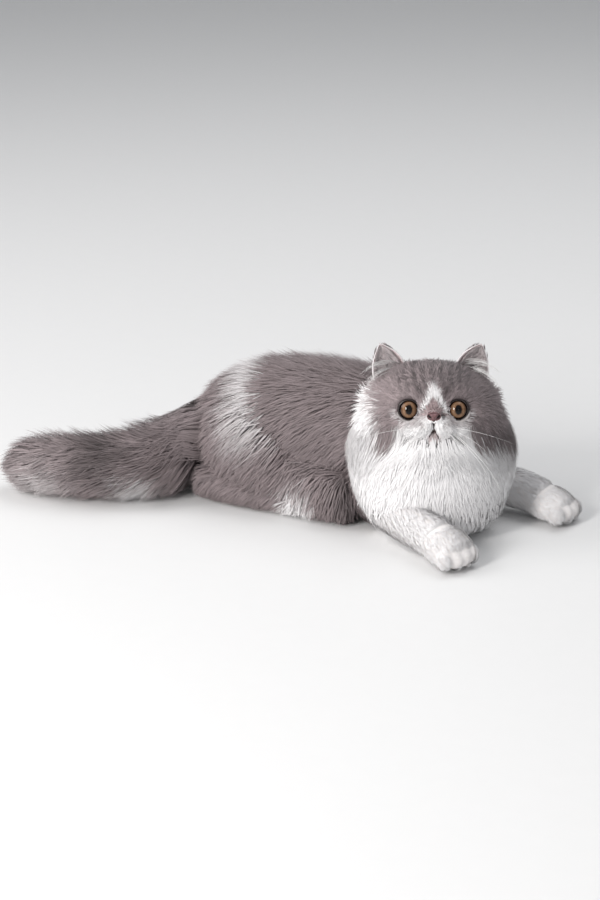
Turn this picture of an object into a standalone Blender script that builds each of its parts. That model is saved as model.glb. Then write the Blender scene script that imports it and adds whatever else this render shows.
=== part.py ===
"""A young long-haired cat lying at full stretch, life size, as a still display model.

Metres, +Z up. The chest points along +X and curls to the right, so the face looks out at -Y.
The origin is on the floor, under the middle of the belly.
Sizes are written in millimetres and turned into metres by MM.
"""

import math
import random
from dataclasses import dataclass, field

import bmesh
import bpy
import numpy as np
from mathutils import Matrix, Vector

MM = 0.001
GAP = 0.3 * MM

# The solid core fills this share of the coat's depth, and the locks reach the rest of the way
CORE_SHARE = 0.5
# How far a part's own stretch of coat reaches past the plain depth, so that its locks stay whole
MARGIN = 3.5 * MM

# A lock of the coat: where its rings stand along it, how broad each is, and its thickness
LOCK_RINGS = ((0.0, 0.7), (0.5, 1.0))
LOCK_THICKNESS = 2.6
LOCK_ROOT = 0.12  # share of the coat's depth that the roots stand at, well inside the core
FOLDED = 0.2  # a lock whose rings stand closer than this share of its length has folded up
LOCK_RISE = 0.8  # under 1, a lock rises faster near its root and lies flatter at its tip
SEED = 10

# Locks of each stretch: one lock's length, then the distance between rows and round a row, in mm
LOCK_SIZES = {
    "ruff": (62, 33, 35),
    "nape": (46, 42, 40),
    "arm": (48, 32, 31),
    "thigh": (62, 33, 36),
    "back": (80, 39, 42),
    "flank": (42, 29, 29),
    "tail": (72, 42, 37),
}
LOCK_LIES = {
    "ruff": (0.0, 0.0, -1.0),
    "nape": (-1.0, 0.3, -0.4),
    "arm": (-0.3, 0.0, -1.0),
    "thigh": (-0.8, 0.0, -0.6),
    "flank": (-0.3, 0.0, -1.0),
}
UPPER_TURNS = (-50.0, 230.0)  # the stretch round the trunk that has locks, in degrees
RUFF_TURNS = (-30.0, 210.0)
NAPE_TURNS = (10.0, 170.0)
ALL_ROUND = (0.0, 360.0)

# Rows of the head's locks, by the angle from the way it looks, and their sizes in mm
HEAD_LOCK_ROWS = (62.0, 90.0, 120.0)
HEAD_LOCK_WIDTH = 32.0
HEAD_LOCK_LENGTH = 28.0
SHORT_COAT = 5.0  # where the head's coat is shorter than this it has no locks

# Where the face looks: turned from +X about the vertical, and tipped up
FACE_TURN = math.radians(-65.0)
FACE_TILT = math.radians(17.0)
FACE_AHEAD = (math.cos(FACE_TURN), math.sin(FACE_TURN), 0.0)
HEAD_CENTRE = (120.5, -26.6, 107.0)

# Eyes, in the head's own axes: X to the cat's left, Y up, Z out of the face
EYE_RADIUS = 10.4
EYE_PLACE = (21.6, 0.0, 29.6)
EYE_SPLAY = math.radians(9.0)
LID_RADIUS = 9.5
LID_THICKNESS = 1.25
LID_FORWARD = 5.2
# The cone that opens each eye: its radii inside and outside, its depth and how far out it stands
OPENING_RADII, OPENING_DEPTH, OPENING_FORWARD = (7.0, 12.5), 16.0, 12.6

# Rings and sides of the head's net, and how far the rings crowd towards the nose
HEAD_RINGS, HEAD_SIDES, HEAD_CROWDING = 22, 30, 1.4
COAT_RINGS, COAT_SIDES = 12, 18  # the coarser net of the space that the head's locks may fill

# Nose and mouth, in the head's axes: the line below the nose, and half of the mouth's line
NOSTRIL_PLACE, NOSTRIL_RADII = (3.3, -5.2, 47.6), (1.7, 1.1, 2.4)
PHILTRUM = ((0, -8.5), (0, -11.5), (0, -14.5), (0, -18.5))
MOUTH_LINE = ((0, -17.5), (2.2, -20.5), (5.2, -23.4), (8.8, -26.6), (12.6, -30.2))
MOUTH_GROOVE = 1.1

HIP_LINE = -3.0  # the hips' middle plane, about which the hind legs are alike


@dataclass
class Limb:
    """A tapering length of the body: ellipses carried along a curve, with rounded ends.

    Each station is x, y, z of the centre, then half the width and half the height of the skin.
    A place on it is u along its length, an angle round it, and a lift above the skin.
    """

    stations: list
    coat: float
    caps: tuple = (10.0, 10.0)
    upward: tuple = (0.0, 0.0, 1.0)
    sides: int = 18
    rings: int = 7
    span: tuple = (0.0, 1.0)  # the stretch of the length that this node has
    lap: float = 0.0  # how far in u its locks may lap on past the far end of that stretch

    CAP = 0.12  # the run of u that a rounded end takes up
    LAST = 0.8  # how much of that run locks may reach over, so that their tips never meet

    def __post_init__(self):
        """Measures the curve, and works out its slopes for a smooth cubic."""
        self.rows = np.array(self.stations, float) * MM
        steps = np.linalg.norm(np.diff(self.rows[:, :3], axis=0), axis=1)
        self.length = steps.sum()
        self.knots = np.concatenate([[0.0], np.cumsum(steps)]) / self.length
        self.slopes = np.gradient(self.rows, self.knots, axis=0)

    def row_at(self, u):
        """Centre and half sizes at u from 0 to 1."""
        u = min(max(u, 0.0), 1.0)
        i = int(min(max(np.searchsorted(self.knots, u) - 1, 0), len(self.knots) - 2))
        run = self.knots[i + 1] - self.knots[i]
        t = (u - self.knots[i]) / run
        start, end = self.rows[i], self.rows[i + 1]
        leaving, arriving = self.slopes[i] * run, self.slopes[i + 1] * run
        return (
            start * (2 * t**3 - 3 * t**2 + 1)
            + leaving * (t**3 - 2 * t**2 + t)
            + end * (3 * t**2 - 2 * t**3)
            + arriving * (t**3 - t**2)
        )

    def frame_at(self, u):
        """Directions ahead, to the right side and upward at u."""
        u = min(max(u, 0.0), 1.0)
        ahead = self.row_at(min(1.0, u + 0.02))[:3] - self.row_at(max(0.0, u - 0.02))[:3]
        ahead /= np.linalg.norm(ahead)
        side = np.cross(ahead, self.upward)
        side /= np.linalg.norm(side)
        return ahead, side, np.cross(side, ahead)

    def point(self, u, angle, lift=0.0):
        """A place on the limb. Past 0 and 1, u runs over the rounded ends."""
        row = self.row_at(u)
        ahead, side, above = self.frame_at(u)
        over = max(-u, u - 1.0, 0.0) / self.CAP
        turn = math.radians(90.0 * min(over, 1.0))
        cap = (self.caps[0] if u < 0 else self.caps[1]) * MM
        centre = row[:3] + ahead * (cap + lift) * math.sin(turn) * (-1 if u < 0 else 1)
        wide = (row[3] + lift) * math.cos(turn) * math.cos(angle)
        high = (row[4] + lift) * math.cos(turn) * math.sin(angle)
        return centre + side * wide + above * high

    def place(self, u, angle, share):
        """A place on the limb at a share of the coat's depth, short of the middle of its ends."""
        reach = self.CAP * self.LAST
        return self.point(min(max(u, -reach), 1.0 + reach), angle, self.coat * MM * share)

    def stops(self, grow, lapped):
        """The u of every ring from first to last, over the rounded ends where the limb has them."""
        low, high = self.span
        low -= grow / self.length if low > 0.0 else 0.0
        high += grow / self.length + self.lap * lapped if high < 1.0 else 0.0
        over = self.CAP * np.array([0.7, 0.36])
        before = -over if low <= 0.0 else []
        after = 1.0 + over[::-1] if high >= 1.0 else []
        return [*before, *np.linspace(low, high, self.rings), *after]

    def solid(self, name, share, grow=0.0, lapped=False):
        """The closed solid whose coat is filled to this share of its depth, grown by grow."""
        lift = self.coat * MM * share + grow
        turns = np.linspace(0, 2 * math.pi, self.sides, endpoint=False)
        stops = self.stops(grow, lapped)
        loops = [[self.point(u, turn, lift) for turn in turns] for u in stops]
        first = self.point(-self.CAP, 0.0, lift)
        last = self.point(1 + self.CAP, 0.0, lift)
        if stops[0] > 0.0:
            first = self.row_at(stops[0])[:3]
        if stops[-1] < 1.0:
            last = self.row_at(self.span[1] + grow / self.length)[:3]
        return ring_object(name, loops, first, last)

    def holds(self, place, lift):
        """True if a place lies inside the limb grown by lift."""
        tries = np.linspace(0, 1, 15)
        u = min(tries, key=lambda t: np.linalg.norm(self.row_at(t)[:3] - place))
        row = self.row_at(u)
        ahead, side, above = self.frame_at(u)
        away = place - row[:3]
        across = (away @ side / (row[3] + lift)) ** 2 + (away @ above / (row[4] + lift)) ** 2
        return across + (away @ ahead / (0.5 * (row[3] + row[4]) + lift)) ** 2 < 1.0


TRUNK = Limb(
    [
        (-97, -4, 50, 27, 33),
        (-70, -3, 56, 39, 46),
        (-10, -3, 62, 43, 54),
        (45, -3, 63, 41, 53),
        (78, -8, 61, 37, 50),
        (104, -18, 58, 30, 38),
    ],
    coat=20.0,
    caps=(10.0, 10.0),
    sides=18,
    rings=7,
)
BIB = Limb(
    [
        (114, -16, 100, 37, 18),
        (121, -29, 76, 49, 28),
        (125, -37, 50, 49, 33),
        (127, -38, 25, 41, 28),
    ],
    coat=24.0,
    caps=(8.0, 8.0),
    upward=FACE_AHEAD,
    sides=16,
    rings=5,
)


NAPE = Limb(
    [
        (84, -6, 74, 28, 30),
        (102, -12, 84, 34, 34),
        (116, -20, 92, 32, 34),
    ],
    coat=22.0,
    sides=12,
    rings=3,
)


def tail_length(span):
    """One length of the tail, from the rump round to the tip, all on one curve."""
    return Limb(
        [
            (-96, -10, 50, 13, 13),
            (-112, -32, 42, 10, 10),
            (-136, -66, 34, 8.5, 8.5),
            (-172, -92, 32, 7.5, 7.5),
            (-212, -103, 30, 6, 6),
            (-240, -106, 27, 4, 4),
        ],
        coat=27.0,
        caps=(4.0, 6.0),
        sides=12,
        rings=4,
        span=span,
        lap=0.16,
    )


def hind_limbs(sign):
    """Flank, thigh and foot of one side; sign is -1 for the right and 1 for the left."""

    def out(reach):
        return HIP_LINE + sign * reach

    flank = Limb(
        [
            (-30, out(37), 29, 14, 20),
            (10, out(46), 27, 15, 20),
            (50, out(49), 27, 16, 20),
        ],
        coat=17.0,
        caps=(10.0, 10.0),
        sides=12,
        rings=3,
    )
    thigh = Limb(
        [
            (-90, out(24), 50, 20, 28),
            (-62, out(32), 52, 23, 40),
            (-28, out(41), 40, 20, 31),
            (-4, out(46), 28, 14, 19),
        ],
        coat=16.0,
        caps=(12.0, 10.0),
        sides=14,
        rings=5,
    )
    foot = Limb(
        [
            (-92, out(47), 18, 13, 14),
            (-58, out(52), 15, 12, 11),
            (-22, out(53), 14, 11.5, 10),
            (4, out(53), 13, 14, 9.5),
        ],
        coat=8.0,
        caps=(8.0, 8.0),
        sides=12,
        rings=5,
    )
    return flank, thigh, foot


def fore_limbs(arm, fore, paw):
    """Upper arm, forearm and paw of one foreleg, from their stations."""
    return (
        Limb(arm, 14.0, (8.0, 8.0), (1.0, 0.0, 0.0), sides=12, rings=3),
        Limb(fore, 6.0, (8.0, 6.0), sides=12, rings=5),
        Limb(paw, 4.0, (4.0, 7.0), sides=12, rings=3),
    )


FORELIMBS = {
    "right": fore_limbs(
        [(98, -30, 84, 12, 18), (84, -44, 56, 15, 20), (76, -52, 28, 15, 19)],
        [
            (70, -52, 26, 15, 18),
            (106, -77, 24, 13, 17),
            (140, -96, 20, 12, 14),
            (156, -103, 17, 13.5, 12),
        ],
        [(153, -101, 16, 14, 12.5), (168, -109, 14, 18, 12), (177, -114, 13, 16.5, 10)],
    ),
    "left": fore_limbs(
        [(122, 16, 84, 12, 18), (118, 30, 56, 15, 20), (114, 36, 30, 15, 19)],
        [
            (112, 34, 26, 15, 18),
            (152, 35, 24, 13, 17),
            (187, 32, 20, 12, 14),
            (204, 29, 17, 13.5, 12),
        ],
        [(201, 29.5, 16, 14, 12.5), (216, 27, 14, 18, 12), (225, 25, 13, 16.5, 10)],
    ),
}

# The head's rounded masses, alike on both sides: centre, radii, and how softly each blends in
HEAD_MASSES = [
    ((0, 4, -4), (46, 34, 40), 1),
    ((26, -10, 12), (24, 22, 24), 10),
    ((17, 13, 25), (15, 11, 12), 8),
    ((0, 10, 29), (13, 14, 12), 8),
    ((20, -13, 26), (12, 9, 11), 6),
    ((8.5, -14, 35.5), (10.5, 8.5, 10), 4),
    ((0, -26, 32), (9, 6.5, 8), 5),
    ((0, -5, 42.5), (7, 5.5, 5), 3),
]


def head_frame():
    """Matrix from the head's own axes to the world."""
    flat = Vector(FACE_AHEAD)
    ahead = flat * math.cos(FACE_TILT) + Vector((0, 0, 1)) * math.sin(FACE_TILT)
    side = Vector((0, 0, 1)).cross(flat)
    frame = Matrix((side, ahead.cross(side), ahead)).transposed().to_4x4()
    frame.translation = Vector(HEAD_CENTRE) * MM
    return frame


def head_distance(points):
    """Distance from the head's skin, in mm and negative inside: its masses, softly blended."""
    points = np.abs(points * [1, 0, 0]) + points * [0, 1, 1]
    found = np.full(len(points), 1e3)
    for centre, radii, blend in HEAD_MASSES:
        away = points - centre
        ratio = np.linalg.norm(away / radii, axis=1)
        slope = np.linalg.norm(away / np.square(radii), axis=1)
        near = ratio * (ratio - 1.0) / np.maximum(slope, 1e-9)
        mix = np.clip(0.5 + 0.5 * (found - near) / blend, 0.0, 1.0)
        found = found * (1 - mix) + near * mix - blend * mix * (1 - mix)
    return found


def head_reach(rays):
    """How far in mm the head's skin lies from its centre along each ray, by halving."""
    low, high = np.full(len(rays), 20.0), np.full(len(rays), 70.0)
    for _ in range(14):
        middle = (low + high) / 2
        inside = head_distance(rays * middle[:, None]) < 0
        low, high = np.where(inside, middle, low), np.where(inside, high, middle)
    return (low + high) / 2


def head_coat(rays):
    """Depth of the coat in mm by ray: short on the face, long on the cheeks and nape."""
    back = np.clip((0.78 - rays[:, 2]) / 0.6, 0.0, 1.0)
    side = np.clip(np.abs(rays[:, 0]) * 1.6 - 0.35, 0.0, 1.0)
    low = np.clip(-rays[:, 1] * 1.2, 0.0, 1.0)
    return 1.0 + 7.0 * back + 12.0 * back * np.maximum(side, low)


def walk(surface, a, b, share, toward, distance):
    """Moves over a surface's own two measures by a distance along a direction in space.

    Gives the new measures and the direction actually taken, which lies in the surface.
    """
    tiny = 1e-3
    here = surface(a, b, share)
    slopes = np.column_stack(
        [(surface(a + tiny, b, share) - here) / tiny, (surface(a, b + tiny, share) - here) / tiny]
    )
    move = np.linalg.lstsq(slopes, toward, rcond=None)[0]
    taken = slopes @ move
    run = max(np.linalg.norm(taken), 1e-9)
    return a + move[0] * distance / run, b + move[1] * distance / run, taken / run


def lock_object(surface, coat, a, b, lie, length, width, bend, tip_share=1.0):
    """One flat tapered lock: rooted in the core at a, b, and rising along its lie to the tips.

    lie gives the direction in space at a place; bend turns the lock sideways along its length.
    Gives None where the lock would fold up on itself, as at the middle of a rounded end.
    """
    loops, done, middle = [], 0.0, None
    for reached, broad in (*LOCK_RINGS, (1.0, 0.0)):
        share = LOCK_ROOT + (tip_share - LOCK_ROOT) * reached**LOCK_RISE
        here = surface(a, b, share)
        if reached > done:
            toward = lie(here) + side * bend * reached
            a, b, _ = walk(surface, a, b, share, toward, (reached - done) * length * MM)
            here, done = surface(a, b, share), reached
        if middle is not None and np.linalg.norm(here - middle) < FOLDED * length * MM:
            return None
        middle = here
        if broad == 0.0:
            return ring_object("lock", loops, None, here)
        ahead = walk(surface, a, b, share, lie(here), MM)[2]
        ridge = surface(a, b, share + LOCK_THICKNESS / coat)
        out = ridge - here
        side = np.cross(ahead, out / np.linalg.norm(out))
        half = width * broad / 2 * MM
        left, right = (
            surface(*walk(surface, a, b, share, side, reach)[:2], share) for reach in (-half, half)
        )
        if np.linalg.norm(left - right) < half:
            return None
        loops.append([left, ridge, right])
    return None


def limb_locks(limb, lie, sizes, keep, draw, turns=ALL_ROUND):
    """Rows of locks over a limb, each row set off by half a place from the last.

    sizes is one entry of LOCK_SIZES; keep tells by a place at the coat's surface whether a lock
    grows there; draw is the random source; turns is the stretch round the limb, in degrees.
    """
    made = []
    length, apart, spread = sizes
    low, high = limb.span
    rows = max(1, round((high - low) * limb.length / (apart * MM)))
    for row in range(rows + 1):
        u = low + (high - low) * row / rows
        girth = math.pi * (limb.row_at(u)[3] + limb.row_at(u)[4] + 2 * limb.coat * MM)
        start, end = (math.radians(turn) for turn in turns)
        count = max(3, round(girth * (end - start) / (2 * math.pi) / (spread * MM)))
        for place in range(count):
            step = place + 0.5 * (row % 2) + draw.uniform(-0.15, 0.15)
            angle = start + (end - start) * step / count
            at = min(max(u + draw.uniform(-0.15, 0.15) / rows, low + 0.01), high - 0.01)
            if not keep(limb.place(at, angle, 0.9)):
                continue
            made.append(
                lock_object(
                    limb.place,
                    limb.coat,
                    at,
                    angle,
                    lie,
                    length * draw.uniform(0.85, 1.15),
                    spread * draw.uniform(0.9, 1.1),
                    draw.uniform(-0.35, 0.35),
                    draw.uniform(1.0, 1.12),
                )
            )
    return [lock for lock in made if lock]


def new_object(name, mesh):
    """Links a mesh to the scene under a name."""
    obj = bpy.data.objects.new(name, mesh)
    bpy.context.scene.collection.objects.link(obj)
    return obj


def to_object(name, form):
    """Turns a bmesh into an object with its faces pointing out."""
    bmesh.ops.recalc_face_normals(form, faces=form.faces)
    mesh = bpy.data.meshes.new(name)
    form.to_mesh(mesh)
    form.free()
    return new_object(name, mesh)


def ring_object(name, loops, first, last=None):
    """A closed loft through rings of points, with a point at each end that has one."""
    form = bmesh.new()
    rings = [[form.verts.new(Vector(p)) for p in loop] for loop in loops]
    count = len(rings[0])
    for a, b in zip(rings, rings[1:]):
        for i in range(count):
            j = (i + 1) % count
            form.faces.new((a[i], a[j], b[j]))
            form.faces.new((a[i], b[j], b[i]))
    for ring, pole in ((rings[0], first), (rings[-1], last)):
        if pole is None:
            form.faces.new(ring)
            continue
        end = form.verts.new(Vector(pole))
        for i in range(count):
            form.faces.new((end, ring[i], ring[(i + 1) % count]))
    return to_object(name, form)


def ball_object(name, centre, radii, frame=None, detail=2):
    """An ellipsoid in the given axes, sizes in mm."""
    form = bmesh.new()
    bmesh.ops.create_icosphere(form, subdivisions=detail, radius=1.0)
    place = Matrix.Translation(Vector(centre) * MM) @ Matrix.Diagonal((*[r * MM for r in radii], 1.0))
    bmesh.ops.transform(form, matrix=(frame or Matrix()) @ place, verts=form.verts)
    return to_object(name, form)


def head_rays(polar, around):
    """Directions from the head's centre at an angle from the way it looks, and angles round it."""
    ahead = np.full(len(around), math.cos(polar))
    return np.column_stack([math.sin(polar) * np.cos(around), math.sin(polar) * np.sin(around), ahead])


def head_place(polar, around, share):
    """A place on the head: two angles about the way it looks, and a share of the coat's depth."""
    ray = head_rays(polar, np.array([around]))
    reach = head_reach(ray) + head_coat(ray) * share
    return np.array(head_frame() @ Vector(ray[0] * reach[0] * MM))


def head_solid(name, share, grow=0.0, lapped=False):
    """The head: rings round the way that it looks, drawn onto the blended masses."""
    frame = head_frame()
    rings, sides = (COAT_RINGS, COAT_SIDES) if lapped else (HEAD_RINGS, HEAD_SIDES)
    around = np.linspace(0, 2 * math.pi, sides, endpoint=False)
    loops = []
    for step in range(rings + 1):
        polar = math.pi * (step / rings) ** HEAD_CROWDING
        rays = head_rays(polar, around)
        reach = head_reach(rays) + head_coat(rays) * share + grow / MM
        loops.append([frame @ Vector(place) for place in rays * reach[:, None] * MM])
    return ring_object(name, loops[1:-1], loops[0][0], loops[-1][0])


def boolean(obj, others, operation):
    """Joins, cuts or clips obj by a collection of closed meshes, which are then removed."""
    group = bpy.data.collections.new("pieces")
    bpy.context.scene.collection.children.link(group)
    for other in others:
        group.objects.link(other)
    step = obj.modifiers.new("step", "BOOLEAN")
    step.operation = operation
    step.solver = "MANIFOLD"
    step.operand_type = "COLLECTION"
    step.collection = group
    graph = bpy.context.evaluated_depsgraph_get()
    made = bpy.data.meshes.new_from_object(obj.evaluated_get(graph))
    obj.modifiers.clear()
    obj.data = made
    for other in others:
        bpy.data.objects.remove(other)
    bpy.data.collections.remove(group)
    return obj


def fused(pieces):
    """One object from a list of closed, overlapping pieces."""
    return boolean(pieces[0], pieces[1:], "UNION") if len(pieces) > 1 else pieces[0]


def without_folds(mesh):
    """A mesh as triangles, without pairs that lie back to back on the same three corners."""
    mesh.calc_loop_triangles()
    corners = np.array([triangle.vertices for triangle in mesh.loop_triangles])
    _, which, times = np.unique(
        np.sort(corners, axis=1), axis=0, return_inverse=True, return_counts=True
    )
    single = corners[times[which.reshape(-1)] == 1]
    made = bpy.data.meshes.new(mesh.name)
    made.from_pydata([vert.co for vert in mesh.vertices], [], single.tolist())
    return made


def keep_largest(obj):
    """Keeps only the largest closed surface of an object."""
    obj.data = without_folds(obj.data)
    form = bmesh.new()
    form.from_mesh(obj.data)
    left = set(form.faces)
    islands = []
    while left:
        stack = [left.pop()]
        island = set(stack)
        while stack:
            for edge in stack.pop().edges:
                for face in edge.link_faces:
                    if face in left:
                        left.discard(face)
                        island.add(face)
                        stack.append(face)
        islands.append(island)
    largest = max(islands, key=lambda faces: sum(f.calc_area() for f in faces))
    spare = [face for face in form.faces if face not in largest]
    bmesh.ops.delete(form, geom=spare, context="FACES")
    form.to_mesh(obj.data)
    form.free()
    return obj


def floor_block():
    """All the space below the floor."""
    form = bmesh.new()
    bmesh.ops.create_cube(form, size=1.0)
    bmesh.ops.translate(form, vec=(0, 0, -0.5), verts=form.verts)
    return to_object("below", form)


@dataclass
class Part:
    """One node of the body: its solid forms, the locks that grow on it, and its finish."""

    name: str
    depth: int  # parts of a lower depth keep their shape, and cut the ones that lie against them
    colour: tuple
    forms: list = field(default_factory=list)  # functions of name, share, grow and lapped
    locks: object = None  # a function that gives a list of closed locks
    carve: object = None  # a function that cuts and raises the node's small features
    roughness: float = 0.85

    def core(self, grow=0.0):
        """The part's forms without their locks, as separate closed solids."""
        share = CORE_SHARE if self.locks else 1.0
        return [form(self.name, share, grow) for form in self.forms]

    def whole(self, grow=0.0):
        """The space out to the tips of the part's locks, as separate closed solids."""
        return [form(self.name, 1.0, MARGIN + grow, True) for form in self.forms]


def build_part(part, outer, others):
    """Makes a part's node, clear of the others.

    The cores of lower depth cut the whole node. Its locks are cut before that by every other
    core, and by the whole coat of each part in outer, whose locks lie over them.
    """
    node = fused(part.core())
    if part.carve:
        part.carve(node)
    if part.locks:
        tufts = fused(part.locks())
        boolean(tufts, [fused(part.whole())], "INTERSECT")
        cores = [solid for other in others if other.depth >= part.depth for solid in other.core(GAP)]
        coats = [solid for other in outer if other.locks for solid in other.whole(GAP)]
        boolean(tufts, [*cores, *coats], "DIFFERENCE")
        if tufts.data.polygons:
            boolean(node, [tufts], "UNION")
        else:
            bpy.data.objects.remove(tufts)
    deeper = [solid for other in others if other.depth < part.depth for solid in other.core(GAP)]
    boolean(node, [floor_block(), *deeper], "DIFFERENCE")
    keep_largest(node)
    node.name = part.name
    node.data.name = part.name
    return node


def dress(node, part, collection):
    """Gives a node its material and puts it in the model's collection."""
    material = bpy.data.materials.new(part.name)
    material.use_nodes = True
    shader = material.node_tree.nodes["Principled BSDF"]
    shader.inputs["Base Color"].default_value = (*part.colour, 1.0)
    shader.inputs["Roughness"].default_value = part.roughness
    shader.inputs["Metallic"].default_value = 0.0
    node.data.materials.clear()
    node.data.materials.append(material)
    bpy.context.scene.collection.objects.unlink(node)
    collection.objects.link(node)


# Toes: half sizes across, forward and up, their spacing, and how the outer two stand back
TOE_RADII, TOE_APART, TOE_FORWARD, TOE_ARC = (5.6, 9.0, 8.5), 8.6, 6.0, 1.6

BLUE_GREY = (0.17, 0.14, 0.145)
CREAM = (0.78, 0.74, 0.72)
AMBER = (0.45, 0.24, 0.10)
INNER_EAR = (0.42, 0.33, 0.33)


def eye_solid(side):
    """Gives the function that makes one eyeball; side is 1 for the cat's left."""

    def make(name, share, grow=0.0, lapped=False):
        form = bmesh.new()
        radius = EYE_RADIUS * MM + grow
        bmesh.ops.create_uvsphere(form, u_segments=14, v_segments=9, radius=radius)
        bmesh.ops.transform(form, matrix=eye_axis(side), verts=form.verts)
        bmesh.ops.triangulate(form, faces=form.faces)
        return to_object(name, form)

    return make


def eye_axis(side):
    """Matrix at one eye's centre whose Z is the way that the eye looks."""
    x, y, z = EYE_PLACE
    turn = Matrix.Rotation(side * EYE_SPLAY, 4, "Y")
    return head_frame() @ Matrix.Translation(Vector((side * x, y, z)) * MM) @ turn


def face_place(x, y):
    """The place on the bare face, in the head's axes and mm, in line with x and y."""
    z = 40.0
    for _ in range(12):
        ray = np.array([[x, y, z]])
        ray /= np.linalg.norm(ray)
        z = (ray * head_reach(ray))[0, 2]
    return np.array([x, y, z])


def groove(points, radius):
    """A thin closed tube through places on the face, to be cut into it."""
    frame = head_frame()
    track = np.array([face_place(x, y) for x, y in points])
    around = np.linspace(0, 2 * math.pi, 6, endpoint=False)
    ways = np.gradient(track, axis=0)
    loops = []
    for place, way, thick in zip(track, ways, np.linspace(1.0, 0.45, len(track)) * radius):
        way /= np.linalg.norm(way)
        side = np.cross(way, (0, 0, 1))
        side /= np.linalg.norm(side)
        above = np.cross(side, way)
        ring = [place + thick * (side * math.cos(t) + above * math.sin(t)) for t in around]
        loops.append([frame @ Vector(p * MM) for p in ring])
    return ring_object("groove", loops, None, None)


def carve_face(node):
    """Opens the eyes, nostrils and mouth, and raises a rounded lid round each eye."""
    frame = head_frame()
    openings = []
    for side in (-1, 1):
        form = bmesh.new()
        bmesh.ops.create_cone(
            form,
            cap_ends=True,
            segments=20,
            radius1=OPENING_RADII[0] * MM,
            radius2=OPENING_RADII[1] * MM,
            depth=OPENING_DEPTH * MM,
        )
        place = eye_axis(side) @ Matrix.Translation((0, 0, OPENING_FORWARD * MM))
        bmesh.ops.transform(form, matrix=place, verts=form.verts)
        openings.append(to_object("opening", form))
    boolean(node, openings, "DIFFERENCE")
    lids = []
    for side in (-1, 1):
        bpy.ops.mesh.primitive_torus_add(
            major_segments=18,
            minor_segments=6,
            major_radius=LID_RADIUS * MM,
            minor_radius=LID_THICKNESS * MM,
        )
        ring = bpy.context.object
        ring.data.transform(eye_axis(side) @ Matrix.Translation((0, 0, LID_FORWARD * MM)))
        lids.append(ring)
    boolean(node, lids, "UNION")
    cuts = [groove(PHILTRUM, MOUTH_GROOVE)]
    for side in (-1, 1):
        cuts.append(groove([(side * x, y) for x, y in MOUTH_LINE], MOUTH_GROOVE))
        x, y, z = NOSTRIL_PLACE
        cuts.append(ball_object("nostril", (side * x, y, z), NOSTRIL_RADII, frame, detail=1))
    boolean(node, cuts, "DIFFERENCE")


# Each ear: places of its foot's two corners and its tip, in the head's axes, for the cat's left
EAR_OUTER, EAR_INNER, EAR_TIP = (49, 20, -8), (20, 33, -6), (44, 60, -6)
EAR_DEPTH, EAR_WALL = 13.0, 2.6


def ear_solid(side):
    """Gives the function that makes one ear: a rounded leaf bent into a cup, open to the front."""

    def make(name, share, grow=0.0, lapped=False):
        outer, inner, tip = (np.array(p, float) for p in (EAR_OUTER, EAR_INNER, EAR_TIP))
        foot = (outer + inner) / 2
        across = (outer - inner) / np.linalg.norm(outer - inner) * grow / MM
        outer, inner = outer + across, inner - across
        tip = tip + (tip - foot) / np.linalg.norm(tip - foot) * grow / MM
        form = bmesh.new()
        rows, columns = 7, 7
        grid = []
        for i in range(rows):
            rise = i / (rows - 1)
            width = math.cos(0.5 * math.pi * rise**1.7) ** 0.85 if rise < 1 else 0.06
            middle = foot + (tip - foot) * rise
            line = []
            for j in range(columns):
                across = 2 * j / (columns - 1) - 1
                half = (outer - inner) / 2 * max(width, 0.06)
                back = -EAR_DEPTH * max(width, 0.06) * (1 - across**2) * (1 - 0.35 * rise)
                place = middle + half * across + np.array([0, 0, back])
                place[0] *= side
                line.append(form.verts.new(head_frame() @ Vector(place * MM)))
            grid.append(line)
        for a, b in zip(grid, grid[1:]):
            for i in range(columns - 1):
                form.faces.new((a[i], a[i + 1], b[i + 1], b[i]))
        obj = to_object(name, form)
        wall = obj.modifiers.new("wall", "SOLIDIFY")
        wall.thickness = EAR_WALL * MM + 2 * grow
        wall.offset = 0.0
        graph = bpy.context.evaluated_depsgraph_get()
        obj.data = bpy.data.meshes.new_from_object(obj.evaluated_get(graph))
        obj.modifiers.clear()
        return obj

    return make


def toes(paw):
    """Gives the function that makes a paw's four toes, set side by side across its end."""

    def make(name, share, grow=0.0, lapped=False):
        ahead, side, above = paw.frame_at(1.0)
        row = paw.row_at(1.0)
        frame = Matrix([side, ahead, above]).transposed().to_4x4()
        frame.translation = Vector(row[:3])
        balls = []
        for place in (-1.5, -0.5, 0.5, 1.5):
            forward = TOE_FORWARD - TOE_ARC * place**2
            radii = [size + grow / MM for size in TOE_RADII]
            balls.append(ball_object(name, (place * TOE_APART, forward, -2.0), radii, frame))
        return fused(balls)

    return make


def steady(*direction):
    """A lie that is the same everywhere."""
    return lambda place: np.array(direction, float)


def away_from_nose(place):
    """The lie of the head's coat: from the nose outward and back."""
    nose = head_frame() @ (Vector((0, -4, 44)) * MM)
    return place - np.array(nose) + np.array([0.0, 0.0, -0.01])


def trunk_lie(place):
    """The lie of the back: towards the tail, and downward on the flanks."""
    return np.array([-1.0, 0.0, -0.35 - 14.0 * abs(place[1] - HIP_LINE * MM)])


def along(limb):
    """Gives a lie that runs along a limb, towards its far end."""
    stops = np.linspace(0, 1, 25)
    centres = np.array([limb.row_at(u)[:3] for u in stops])
    return lambda place: limb.frame_at(stops[np.argmin(np.linalg.norm(centres - place, axis=1))])[0]


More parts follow.
